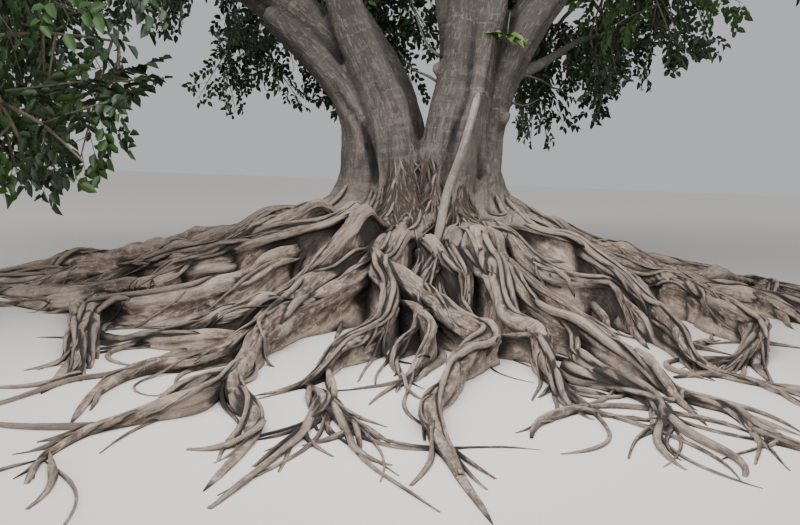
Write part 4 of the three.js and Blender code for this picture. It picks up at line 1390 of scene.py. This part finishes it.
FOLIAGE_SEED = 7
SHADES = 4
SIDE_TWIGS = 12
LEAF_LENGTH = 0.155
LEAF_WIDTH = 0.56  # over its length
BARE_SHARE = 0.3  # of a side twig, before its first leaf
LEAF_OUTLINE = [[0, 0], [0.3, 0.5], [0.68, 0.42], [1, 0], [0.68, -0.42], [0.3, -0.5]]
LEAF_FORTH = 0.55  # how much of its direction is along its twig
LEAF_ASIDE = 0.8
LEAF_DROOP = 0.35
LEAF_JITTER = 0.22
LEAF_TILT = 0.3
LEAF_SHIFT = 0.3  # along the twig, over the gap
LEAF_SIZES = [0.75, 1.25]
LEAF_FOLD = 0.72
LEAF_CURL = 0.12
SPRAY_GAP = 0.04  # between leaves along a twig
OPEN_GAPS = {"foliage_left_front": 0.052, "foliage_left": 0.05}
SIDE_ARMS_FROM = [0.45, 0.75]  # where an arm carries finer arms
SIDE_ARM_LENGTHS = [1.5, 1.2, 0.9, 0.6]  # the longest that keeps inside its mass
SIDE_ARM_RADII = [0.026, 0.012]
SIDE_ARM_OUTWARD = 0.4
SIDE_ARM_ARCH = 0.08
SIDE_SPRAYS_ALONG = [0.5, 1]
SIDE_SPRAY = {"length": 1.25, "width": 0.95}
WHIPS = 14  # long hanging shoots in each mass
WHIPS_AT = {"foliage_left_front": 62, "foliage_left": 34, "foliage_back_left": 96, "foliage_back_right": 60}
WHIPS_FROM = [0.3, 1]  # of an arm's length
WHIP_LENGTHS = [1.5, 1.2, 0.95, 0.75, 0.55]
WHIP_WIDTH = 0.84
WHIP_GAP = 0.056
WHIP_LEAN = 0.9  # outward, over its drop
WHIP_INSIDE = 0.4  # of its length that keeps to the room of its mass
WHIP_LOWEST = 1.35
EXTRA_ARM_ARCH = 0.3
EXTRA_ARMS = {
    "foliage_back_left": [
        [-0.7, 5.3, 4.5], [-1.3, 5, 4], [-0.4, 5.5, 4.9], [-0.55, 6.3, 4.6], [-1.9, 4.6, 4.7]],
    "foliage_back_right": [[1, 4.9, 4.9], [1.3, 4.2, 4.6]],
}


class Space:
    """The room that a mass keeps to."""

    def __init__(self, name):
        mass = MASSES[name]
        self.centre = np.array(mass.centre, float)
        self.gap = OPEN_GAPS.get(name, SPRAY_GAP)
        self.size = np.array([mass.across, mass.across, mass.up])
        self.sides = []
        for other in MASSES.values():
            if other is mass:
                continue
            away = np.array(other.centre) - self.centre
            reach = np.linalg.norm(away)
            share = mass.across / (mass.across + other.across)
            self.sides.append((away / reach, reach * share - MASS_MARGIN))

    def holds(self, spot):
        away = spot - self.centre
        if np.linalg.norm(away / self.size) > 1:
            return False
        return all(np.dot(away, out) < limit for out, limit in self.sides)

    def outward(self, spot):
        return unit((spot - self.centre) / self.size**2)


def arm_way(space, stem, n, seed):
    """An arm from the stem towards the rim of its mass, as far as there is room."""
    level = 1 - (2 * n + 1) / ARMS
    turn = n * GOLDEN_ANGLE + seed
    level_round = math.sqrt(1 - level**2)
    heading = np.array([math.cos(turn) * level_round, math.sin(turn) * level_round, level]) * space.size
    start = stem.at(mix(ARMS_FROM, (n + 0.5) / ARMS))
    reach = ARM_REACH["most"]
    while reach > ARM_REACH["least"]:
        tip = space.centre + heading * reach
        if space.holds(tip):
            bend = start + (tip - start) * ARM_BEND + UP * ARM_ARCH * space.size[2]
            return Way([start, bend, tip])
        reach -= ARM_REACH["step"]
    return None


def spray_axes(space, root, angle):
    """Along, across and facing of the spray at a root, turned by angle."""
    outward = space.outward(root)
    level = unit(np.cross(UP, outward))
    along = level * math.cos(angle) + np.cross(outward, level) * math.sin(angle)
    along = unit(along + outward * SPRAY_LIFT - UP * SPRAY_DROOP)
    across = unit(np.cross(along, outward))
    return along, across, np.cross(across, along)


def spray_at(space, root, order, length=SPRAY_LENGTH, width=SPRAY_WIDTH):
    """A spray at a root, turned until it has room, or none."""
    for turn in range(order, order + SPRAY_TRIES):
        axes = spray_axes(space, root, turn * GOLDEN_ANGLE)
        along, across, _ = axes
        middle = root + along * length / 2
        ends = [root + along * length, middle + across * width / 2, middle - across * width / 2]
        if all(space.holds(end) for end in ends):
            return [Spray(root, *axes, length, width, space.gap)]
    return []


def side_arm(space, arm, share, order):
    """A finer arm that leaves an arm, as long as its mass has room for."""
    start = arm.evenly(share)
    along = spray_axes(space, start, order * GOLDEN_ANGLE)[0]
    heading = unit(along + space.outward(start) * SIDE_ARM_OUTWARD)
    for length in SIDE_ARM_LENGTHS:
        tip = start + heading * length
        if space.holds(tip):
            return Way([start, (start + tip) / 2 + UP * SIDE_ARM_ARCH, tip])
    return None


def whip(space, way, seed, n):
    """A long shoot that hangs from an arm."""
    root = way.evenly(pick(WHIPS_FROM, seed, n + 201))
    turn = 2 * math.pi * chance(seed, n + 401)
    lean = np.array(level_heading(turn)) * WHIP_LEAN * chance(seed, n + 601)
    along = unit(lean - UP)
    across = unit(np.cross(along, np.array([math.sin(turn), -math.cos(turn), 0.1])))
    for length in WHIP_LENGTHS:
        tip = root + along * length
        if tip[2] > WHIP_LOWEST and space.holds(root + along * length * WHIP_INSIDE):
            return [Spray(root, along, across, np.cross(across, along), length, WHIP_WIDTH, WHIP_GAP)]
    return []


def grow_mass(name, seed, twigs):
    """The stem, arms and sprays of a mass by the source's rule, and finer ones. Twigs get their wood."""
    mass = MASSES[name]
    space = Space(name)
    source = {**BOUGHS, **LIMBS}[mass.carrier]
    tip, before = (np.array(source.way[n], float) for n in (-1, -2))
    stem = Way([tip + (before - tip) * STEM_SUNK, space.centre])
    stem_radii = [source.radii[1] * STEM_SHARE, ARM_RADII[0]]
    share = np.linspace(0, 1, ARM_SPOTS)
    tube(twigs, stem.evenly(share), mix(stem_radii, share), MASS_STEM_CORNERS, flute_relief, seed * 3.0)
    sprays = []
    ways = []
    arms = [arm_way(space, stem, n, seed) for n in range(ARMS)]
    middle = stem.at(0.5)
    arms += [Way([middle, (middle + tip) / 2 + UP * EXTRA_ARM_ARCH, tip]) for tip in EXTRA_ARMS.get(name, [])]
    for n, arm in enumerate(arms):
        if arm is None:
            continue
        ways.append(arm)
        tube(twigs, arm.evenly(share), mix(ARM_RADII, share), ARM_CORNERS, flute_relief, seed * 3.0 + n / 7)
        for k, along in enumerate(SPRAYS_ALONG):
            sprays += spray_at(space, arm.evenly(along), n * len(SPRAYS_ALONG) + k)
        for k, along in enumerate(SIDE_ARMS_FROM):
            side = side_arm(space, arm, along, n + 3 * k + seed)
            if side is None:
                continue
            ways.append(side)
            few = share[::2]
            tube(twigs, side.evenly(few), mix(SIDE_ARM_RADII, few), SIDE_ARM_CORNERS, None, seed + n / 9)
            for m, place in enumerate(SIDE_SPRAYS_ALONG):
                sprays += spray_at(space, side.evenly(place), n + k + 5 * m, **SIDE_SPRAY)
    for n in range(WHIPS_AT.get(name, WHIPS)):
        sprays += whip(space, ways[n % len(ways)], seed, n)
    return sprays


def thin_tubes(shell, lines, radii, corners=3):
    """Many thin tubes at once. Lines is twigs by rings by 3, and radii goes by ring."""
    twigs, rings, _ = lines.shape
    tangents = unit(np.gradient(lines, axis=1))
    side = unit(np.cross(tangents, UP + 0.01))
    other = np.cross(tangents, side)
    turn = np.arange(corners) * 2 * np.pi / corners
    out = side[:, :, None] * np.cos(turn)[:, None] + other[:, :, None] * np.sin(turn)[:, None]
    spots = lines[:, :, None] + out * np.asarray(radii)[None, :, None, None]
    quads = sweep_faces(rings, corners, True)
    ends = np.concatenate(caps(rings, corners))
    step = np.arange(twigs)[:, None, None] * rings * corners
    along = np.linspace(0, 1, rings)[None, :, None] + 0 * spots[..., 0]
    faces = [(quads + step).reshape(-1, 4), (ends + step).reshape(-1, corners)]
    shell.add(spots, faces, grain=stacked(turn * 0.02, along, np.arange(twigs)[:, None, None] * 1.7))


SPRAY_RADII = [0.016, 0.011, 0.004]
TWIG_RADII = [0.006, 0.002]
TWIG_AT = [0.3, 0.4]  # where a side twig lies in its stretch of the spray, and how much that varies
TWIGS_TO = 0.95  # of a spray's length
TWIG_SWING = [0.5, 1.0]  # across the spray
TWIG_LIFT = 0.9
TWIG_FORTH = 1.15
TWIG_TAPER_LEAST = 0.08
TWIG_LENGTH = [0.8, 0.5]  # over half the spray's width, and how much that varies
TWIG_SAG = 0.3
AXIS_SAG = 0.06  # of a spray's length squared, at its tip


def along_axis(root, along, length, share):
    return root + along * (length * share)[..., None] - UP * (AXIS_SAG * (length * share) ** 2)[..., None]


def along_twig(base, heading, length, share):
    reach = length * share
    return base + heading * reach[..., None] - UP * (TWIG_SAG * reach**2)[..., None]


def side_twigs(sprays, rng):
    """Bases, directions, lengths, facings and leaf gaps of the side twigs of all sprays."""
    root, along, across, facing = (np.stack([s[n] for s in sprays])[:, None] for n in range(4))
    spray_length, width, gap = (np.array([s[n] for s in sprays])[:, None] for n in range(4, 7))
    count = (len(sprays), SIDE_TWIGS)
    share = (np.arange(SIDE_TWIGS) + TWIG_AT[0] + TWIG_AT[1] * rng.random(count)) / SIDE_TWIGS
    hand = np.where(np.arange(SIDE_TWIGS) % 2, 1, -1)[None, :, None]
    base = along_axis(root, along, spray_length, share * TWIGS_TO)
    swing = mix(TWIG_SWING, rng.random(count)[..., None])
    lift = (rng.random(count)[..., None] - 0.5) * TWIG_LIFT
    heading = unit(along * (TWIG_FORTH - 0.5 * swing) + across * hand * swing + facing * lift)
    taper = np.sqrt(np.clip(1 - (share * 2 - 1) ** 2, TWIG_TAPER_LEAST, 1))
    length = width / 2 * taper * (TWIG_LENGTH[0] + TWIG_LENGTH[1] * rng.random(count))
    facing, gap = np.broadcast_to(facing, base.shape), np.broadcast_to(gap, length.shape)
    return [v.reshape(-1, *v.shape[2:]) for v in (base, heading, length, facing, gap)]


def leaves_on(base, heading, length, facing, gap, rng):
    """Stalks, directions and facings of the leaves along side twigs."""
    most = int(np.max(length / gap))
    jitter = LEAF_SHIFT * (rng.random((len(base), most)) - 0.5)
    place = (np.arange(most)[None, :] + 0.5 + jitter) * gap[:, None]
    on = (place < length[:, None]) & (place > BARE_SHARE * length[:, None])
    spots = along_twig(base[:, None], heading[:, None], length[:, None], place / length[:, None])
    hand = np.where(np.arange(most) % 2, 1.0, -1.0)[None, :, None]
    jitter = rng.normal(size=(len(base), most, 3))
    face = facing * np.sign(facing[:, 2:3])
    aside = np.cross(heading, face)[:, None] * hand * LEAF_ASIDE
    out = unit(heading[:, None] * LEAF_FORTH + aside - UP * LEAF_DROOP + jitter * LEAF_JITTER)
    normal = unit(face[:, None] + UP * 0.5 + rng.normal(size=jitter.shape) * LEAF_TILT)
    return spots[on], out[on], normal[on]


def leaf_mesh(name, spots, out, normal, sizes):
    """Leaves of four triangles, folded along the midrib."""
    across = unit(np.cross(out, normal))
    face = np.cross(across, out)
    outline = np.array(LEAF_OUTLINE, float)
    forth = outline[:, 0][None, :, None]
    aside = outline[:, 1][None, :, None] * LEAF_WIDTH
    raised = np.abs(aside) * LEAF_FOLD - LEAF_CURL * forth**2
    reach = out[:, None] * forth + across[:, None] * aside + face[:, None] * raised
    verts = spots[:, None] + reach * sizes[:, None, None]
    fan = np.array([[0, 1, 2], [0, 2, 3], [0, 3, 4], [0, 4, 5]])
    faces = (fan[None] + np.arange(len(spots))[:, None, None] * len(outline)).reshape(-1, 3)
    shell = Shell()
    shell.add(verts, [faces])
    return shell.mesh(name)


# A young shoot with pale leaves, between the centre stem and the right one
SPROUT_STALKS = [
    Stem(0.012, [[1.0, -0.05, 3.4], [0.96, -0.27, 3.52], [0.94, -0.36, 3.5]]),
    Stem(0.01, [[1.0, -0.1, 3.46], [0.97, -0.27, 3.62], [0.99, -0.25, 3.84]]),
]
SPROUT_SPOTS = 8
SPROUT_LEAVES = 11
SPROUT_LENGTHS = [0.16, 0.3]


def sprout_meshes():
    """The stalks, and leaves that spread from their tip to the front and down."""
    stalks = Shell()
    for stalk in SPROUT_STALKS:
        line, share = drawn(stalk.way, SPROUT_SPOTS)
        tube(stalks, line, stalk.radii * (1 - 0.5 * share), ARM_CORNERS)
    turn = np.arange(SPROUT_LEAVES) * GOLDEN_ANGLE
    sway = np.array([chance(n, 121) for n in range(SPROUT_LEAVES)])
    out = unit(stacked(np.cos(turn), np.sin(turn) * 0.5 - 0.35, -0.9 * sway + 0.15))
    normal = unit(stacked(0 * turn, -0.6 + 0 * turn, 1 + 0 * turn))
    spots = np.array(SPROUT_STALKS[0].way[-1]) + out * 0.03
    sizes = np.array([pick(SPROUT_LENGTHS, n, 122) for n in range(SPROUT_LEAVES)])
    return stalks.mesh("sprout_stalks_skin"), leaf_mesh("sprout_leaves_skin", spots, out, normal, sizes)


# Materials

class Recipe:
    """A material's nodes, added one at a time."""

    def __init__(self, name):
        self.material = bpy.data.materials.new(name)
        self.material.use_nodes = True
        self.tree = self.material.node_tree
        self.shader = self.tree.nodes["Principled BSDF"]

    def add(self, kind, settings=None, **inputs):
        """A node with its settings. Each input is a link or a value, by the socket's name or number."""
        made = self.tree.nodes.new(kind)
        for key, value in (settings or {}).items():
            setattr(made, key, value)
        for key, value in inputs.items():
            socket = made.inputs[int(key) if key.isdigit() else key.replace("_", " ")]
            if isinstance(value, bpy.types.NodeSocket):
                self.tree.links.new(value, socket)
            else:
                socket.default_value = value
        return made

    def attribute(self, name):
        return self.add("ShaderNodeAttribute", {"attribute_name": name})

    def scaled(self, vector, scale):
        sockets = {"0": vector, "1": scale}
        return self.add("ShaderNodeVectorMath", {"operation": "MULTIPLY"}, **sockets).outputs["Vector"]

    def noise(self, vector, scale, detail, rough, distortion=0.0):
        inputs = {"Vector": vector, "Scale": scale, "Detail": detail, "Roughness": rough}
        return self.add("ShaderNodeTexNoise", None, Distortion=distortion, **inputs).outputs["Fac"]

    def span(self, value, low, high, most):
        """From 0 where the value is low to the most where it is high, and no further."""
        inputs = {"Value": value, "From_Min": low, "From_Max": high, "To_Min": 0.0, "To_Max": most}
        made = self.add("ShaderNodeMapRange", {"interpolation_type": "SMOOTHSTEP"}, **inputs)
        return made.outputs["Result"]

    def blend(self, share, a, b):
        sockets = {"0": share, "6": a, "7": b}
        return self.add("ShaderNodeMix", {"data_type": "RGBA"}, **sockets).outputs[2]

    def math(self, operation, a, b):
        return self.add("ShaderNodeMath", {"operation": operation}, **{"0": a, "1": b}).outputs[0]

    def bump(self, height, strength, distance):
        made = self.add("ShaderNodeBump", None, Height=height, Strength=strength, Distance=distance)
        self.tree.links.new(made.outputs["Normal"], self.shader.inputs["Normal"])

    def colour(self, socket):
        self.tree.links.new(socket, self.shader.inputs["Base Color"])


def tone(red, green, blue):
    """A colour from 0 to 255 as the shaders take it."""
    return (*(((v / 255 + 0.055) / 1.055) ** 2.4 for v in (red, green, blue)), 1.0)


# Barks: a deep, dark, middle and pale tone and a tint, and how much streaks, fibres, rings and flecks show.
# The deep tone is painted shade, in grooves and where other wood shuts a spot in.
BARKS = {
    "bark": Bark(
        [(18, 15, 13), (52, 47, 43), (90, 83, 77), (130, 121, 112), (92, 78, 69)], 1.0, 0.3, 0.34, 0.35),
    "root_bark": Bark(
        [(22, 16, 12), (62, 49, 41), (120, 104, 92), (178, 160, 145), (108, 85, 70)], 1.3, 0.7, 0.15, 0.55),
    "hanging_bark": Bark(
        [(44, 37, 32), (92, 83, 75), (126, 117, 108), (156, 147, 137), (116, 100, 88)], 0.8, 0.4, 0.3, 0.3),
    "fibre_bark": Bark(
        [(60, 50, 42), (112, 97, 84), (146, 129, 113), (182, 164, 143), (138, 114, 92)], 0.8, 0.9, 0.1, 0.8),
    "twig_bark": Bark(
        [(40, 33, 26), (80, 70, 58), (108, 96, 80), (134, 122, 104), (96, 84, 66)], 0.6, 0.2, 0.3, 0.2),
}
TONE_NAMES = ["deep", "dark", "middle", "pale", "tint", "foot"]
BUMP_SOURCES = ["streaks", "grit", "fibres", "rings", "flecks"]
FOOT_TONE = (158, 142, 129)  # as pale as the roots' at the trunk's foot
BARK_ROUGH = 0.85
GRIT_BUMP = 0.3
BUMP_STRENGTH = 0.9
BUMP_DISTANCE = 0.045

# Noises along the grain: how fine they are across, along and through it, detail, roughness and distortion.
GRAIN_NOISES = {
    "streaks": [(12, 1.2, 12), 6.0, 0.65, 0.3],
    "fibres": [(46, 3.4, 46), 5.0, 0.65],
    "rings": [(1.1, 15, 1.1), 4.0, 0.6, 0.5],
    "flecks": [(28, 9, 28), 4.0, 0.65, 0.5],
}
BAND_NOISE = [(3.6, 0.45, 3.6), 3.0, 0.55, 0.4]

# Noises by place: how fine they are, detail and roughness.
PLACE_NOISES = {"patches": [1.3, 5.0, 0.62], "stains": [3.7, 5.0, 0.6], "grit": [38.0, 4.0, 0.6]}

# Layers of bark, the first one lowest: what it follows, the values of that where it begins and is strongest,
# how strong it is there, and its tone. With no strength of its own, it is as strong as its bark says.
UNDER_LAYERS = [
    ["streaks", 0.4, 0.6, 1.0, "middle"],
    ["fibres", 0.45, 0.72, None, "pale"],
    ["patches", 0.44, 0.66, 0.4, "pale"],
    ["stains", 0.52, 0.7, 0.5, "tint"],
]
HEIGHT_LAYERS = [
    ["bands", 0.47, 0.62, 0.5, "dark"],
    ["level", 1.8, 1.1, 0.6, "foot"],
    # painted shade under the crown: darker from 1.9 m up
    ["level", 1.9, 3.3, 0.78, "dark"],
]
OVER_LAYERS = [
    ["rings", 0.55, 0.68, None, "dark"],
    ["rings", 0.47, 0.34, None, "pale"],
    ["fibres", 0.46, 0.28, None, "dark"],
    ["grit", 0.5, 0.3, 0.45, "dark"],
    ["flecks", 0.53, 0.62, None, "pale"],
    ["flecks", 0.47, 0.38, None, "dark"],
    ["hollow", -0.04, -0.4, 0.45, "pale"],
    # painted shade: the deep tone in grooves, and where other wood shuts a spot in
    ["hollow", 0.02, 0.3, 0.85, "deep"],
    ["occlusion_shade", 0.14, 0.62, 0.94, "deep"],
]


def bark_sources(recipe, heights):
    """What the layers of a bark follow."""
    grain = recipe.attribute("grain").outputs["Vector"]
    place = recipe.add("ShaderNodeNewGeometry").outputs["Position"]
    sources = {name: recipe.attribute(name).outputs["Fac"] for name in ("hollow", "occlusion_shade")}
    along_grain = {**GRAIN_NOISES, "bands": BAND_NOISE} if heights else GRAIN_NOISES
    for name, (scale, *rest) in along_grain.items():
        sources[name] = recipe.noise(recipe.scaled(grain, scale), 1.0, *rest)
    for name, numbers in PLACE_NOISES.items():
        sources[name] = recipe.noise(place, *numbers)
    if heights:
        sources["level"] = recipe.add("ShaderNodeSeparateXYZ", None, Vector=place).outputs["Z"]
    return sources


def bark_material(name, heights=False):
    """A bark in layers. With heights, it also has broad bands, a pale foot and shade under the crown."""
    bark = BARKS[name]
    recipe = Recipe(name)
    sources = bark_sources(recipe, heights)
    amounts = {"grit": GRIT_BUMP, **bark._asdict()}
    tones = {key: tone(*value) for key, value in zip(TONE_NAMES, [*bark.tones, FOOT_TONE])}
    base = tones["dark"]
    for source, low, high, share, shade in UNDER_LAYERS + (HEIGHT_LAYERS if heights else []) + OVER_LAYERS:
        share = amounts[source] if share is None else share
        base = recipe.blend(recipe.span(sources[source], low, high, share), base, tones[shade])
    recipe.colour(base)
    height = 0.0
    for source in BUMP_SOURCES:
        height = recipe.math("ADD", height, recipe.math("MULTIPLY", sources[source], amounts[source]))
    recipe.bump(height, BUMP_STRENGTH, BUMP_DISTANCE)
    recipe.shader.inputs["Roughness"].default_value = BARK_ROUGH
    return recipe.material


LEAF_TONES = [(37, 64, 26), (29, 53, 22), (52, 84, 31), (24, 45, 19)]
LEAF_ROUGH = 0.42
SPROUT_TONE = (84, 108, 58)


def plain_material(name, colour, rough):
    recipe = Recipe(name)
    recipe.shader.inputs["Base Color"].default_value = tone(*colour)
    recipe.shader.inputs["Roughness"].default_value = rough
    return recipe.material


# The tree

# Painted shade: rays from each vertex find how far other wood shuts it in, and the bark is darkened there.
# How far they reach, their ways, how far off the skin they start, and the gain.
SHADE_RAY_REACH = 0.32
SHADE_RAY_WAYS = [[0.9, 0, 0.2], [-0.9, 0, 0.2], [0, 0.9, 0.2], [0, -0.9, 0.2], [0, 0, 0.9]]
SHADE_RAY_CLEAR = 0.012
SHADE_GAIN = 1.6


def mark_occlusion_shade(made, skin):
    """Keeps how far each vertex is shut in by other wood, from 0 up, for painted shade that darkens the bark
    there.
    """
    spots = spots_of(made)
    normals = normals_of(made)
    starts = (spots + normals * SHADE_RAY_CLEAR).tolist()
    shut = np.zeros(len(spots))
    for way in SHADE_RAY_WAYS:
        aims = unit(normals + np.array(way)).tolist()
        reached = (skin.ray_cast(start, aim, SHADE_RAY_REACH)[3] for start, aim in zip(starts, aims))
        shut += [0.0 if far is None else 1 - far / SHADE_RAY_REACH for far in reached]
    shut = neighbour_mean(shut[:, None] / len(SHADE_RAY_WAYS), edges_of(made))
    keep_values(made, "occlusion_shade", shut * SHADE_GAIN)


def finish_wood(name, made, skin, material, nodes):
    mark_hollows(made)
    mark_occlusion_shade(made, skin)
    shade_smooth(made)
    piece(name, made, material, nodes)


def dress_wood():
    """The pieces of wood, but for twigs."""
    bark = bark_material("bark", True)
    root_bark, hanging_bark, fibre_bark = map(bark_material, ("root_bark", "hanging_bark", "fibre_bark"))
    trunk = trunk_mesh()
    trunk_part = (spots_of(trunk), [quads_of(trunk)])
    plates, parents = root_plates(trunk_part)
    skin = skin_tree([trunk_part, ground_square(), *plate_parts(plates)])
    trunk_vines(skin, plates)
    runners(skin, plates, parents)
    toes(skin, plates, parents[:-STRANDS])
    companions(skin, plates, parents[:-STRANDS])
    fibres = fibre_shell(skin)
    skin = skin_tree([trunk_part, fibres.parts(), *plate_parts(plates)])
    finish_wood("trunk_and_stems", trunk, skin, bark, ["trunk", *BOUGHS])
    finish_wood("boughs_and_limbs", bough_mesh(), skin, bark, [*BOUGHS, *LIMBS])
    finish_wood("hanging_root", aerial_root_mesh(skin), skin, hanging_bark, ["aerial_root"])
    finish_wood("torn_fibres", fibres.mesh("fibres_skin"), skin, fibre_bark, ["trunk"])
    for side, plate in plates.items():
        made = plate["shell"].mesh(f"roots_{side}_skin")
        finish_wood(f"roots_{side}", made, skin, root_bark, plate["nodes"])


def dress_foliage():
    """The leaves, a piece for each shade, and the twigs."""
    rng = np.random.default_rng(FOLIAGE_SEED)
    twigs = Shell()
    shaded = [[] for _ in range(SHADES)]
    for seed, name in enumerate(MASSES, 1):
        for n, spray in enumerate(grow_mass(name, seed, twigs)):
            shaded[int(chance(seed, n + 5) * SHADES)].append(spray)
    for number, sprays in enumerate(shaded):
        base, heading, length, facing, gap = side_twigs(sprays, rng)
        spots, out, normal = leaves_on(base, heading, length, facing, gap, rng)
        sizes = LEAF_LENGTH * mix(LEAF_SIZES, rng.random(len(spots)))
        made = leaf_mesh(f"leaves_{number}_skin", spots, out, normal, sizes)
        green = plain_material(f"leaf_{number}", LEAF_TONES[number], LEAF_ROUGH)
        piece(f"leaves_{number + 1}", made, green, MASSES)
        root, along = (np.stack([s[n] for s in sprays])[:, None] for n in range(2))
        spray_length = np.array([s.length for s in sprays])[:, None]
        axes = along_axis(root, along, spray_length, np.array([[0, 0.5, TWIGS_TO]]))
        thin_tubes(twigs, axes, SPRAY_RADII, 4)
        lines = along_twig(base[:, None], heading[:, None], length[:, None], np.array([[0, 1]]))
        thin_tubes(twigs, lines, TWIG_RADII)
    made = twigs.mesh("twigs_skin")
    mark_hollows(made)
    shade_smooth(made)
    piece("twigs", made, bark_material("twig_bark"), MASSES)


def dress_sprout():
    stalks, leaves = sprout_meshes()
    green = plain_material("sprout_green", SPROUT_TONE, LEAF_ROUGH)
    for name, made in (("sprout_stalks", stalks), ("sprout_leaves", leaves)):
        piece(name, made, green, ["bough_right"])


# Stage

FLOOR_SIZE = 400
FLOOR_DROP = 0.002  # below the ground, so that no face lies in it
FLOOR_TONE = (200, 196, 190)
FLOOR_ROUGH = 0.9


def stage():
    bpy.ops.mesh.primitive_plane_add(size=FLOOR_SIZE, location=(0, 0, -FLOOR_DROP))
    floor = bpy.context.object
    floor.name = "floor"
    floor.data.materials.append(plain_material("floor", FLOOR_TONE, FLOOR_ROUGH))


SKY = {"Color": (0.93, 0.96, 1.0, 1), "Strength": 0.55}

# Soft lights: kind, spot, aim, size and power. A sun's size is its angle, and an area's is its width.
LIGHTS = {
    "key": ["SUN", (-11, -14, 7.5), (0, -2, 1), 0.4, 1.6],
    "fill": ["SUN", (12, -13, 4.5), (0, 0, 1), 0.7, 0.35],
    "back": ["SUN", (6, 15, 7), (0, 0, 1), 0.9, 0.5],
    "over": ["AREA", (-4, -10, 20), (0, 0, 4), 14, 3000],
    "roots": ["AREA", (0.4, -4.6, 3.9), (0, -3, 0), 7, 480],
}


def lamp(name, kind, spot, aim, size, power):
    light = bpy.data.lights.new(name, kind)
    setattr(light, "angle" if kind == "SUN" else "size", size)
    light.energy = power
    thing = placed(name, light)
    forward = unit(np.array(aim, float) - np.array(spot, float))
    side = unit(np.cross(forward, UP + [0, 0.01, 0]))
    turn = Matrix(np.stack([side, np.cross(side, forward), -forward], axis=1).tolist()).to_4x4()
    turn.translation = spot
    thing.matrix_world = turn
    thing.visible_camera = False


def lights():
    world = bpy.data.worlds.new("studio")
    bpy.context.scene.world = world
    world.use_nodes = True
    for key, value in SKY.items():
        world.node_tree.nodes["Background"].inputs[key].default_value = value
    for name, numbers in LIGHTS.items():
        lamp(name, *numbers)


CAMERA_SPOT = (-0.36, -10.0, 1.6)
CAMERA_LENS = 31.5
CAMERA_SENSOR = 36
CAMERA_PITCH = 7.04  # degrees down
CAMERA_ROLL = 2.2


def camera():
    data = bpy.data.cameras.new("camera")
    data.lens = CAMERA_LENS
    data.sensor_width = CAMERA_SENSOR
    thing = placed("camera", data)
    tilt = Matrix.Rotation(math.radians(90 - CAMERA_PITCH), 4, "X")
    roll = Matrix.Rotation(math.radians(CAMERA_ROLL), 4, "Z")
    thing.matrix_world = Matrix.Translation(CAMERA_SPOT) @ tilt @ roll
    bpy.context.scene.camera = thing


camera()
stage()
lights()
dress_wood()
dress_foliage()
dress_sprout()
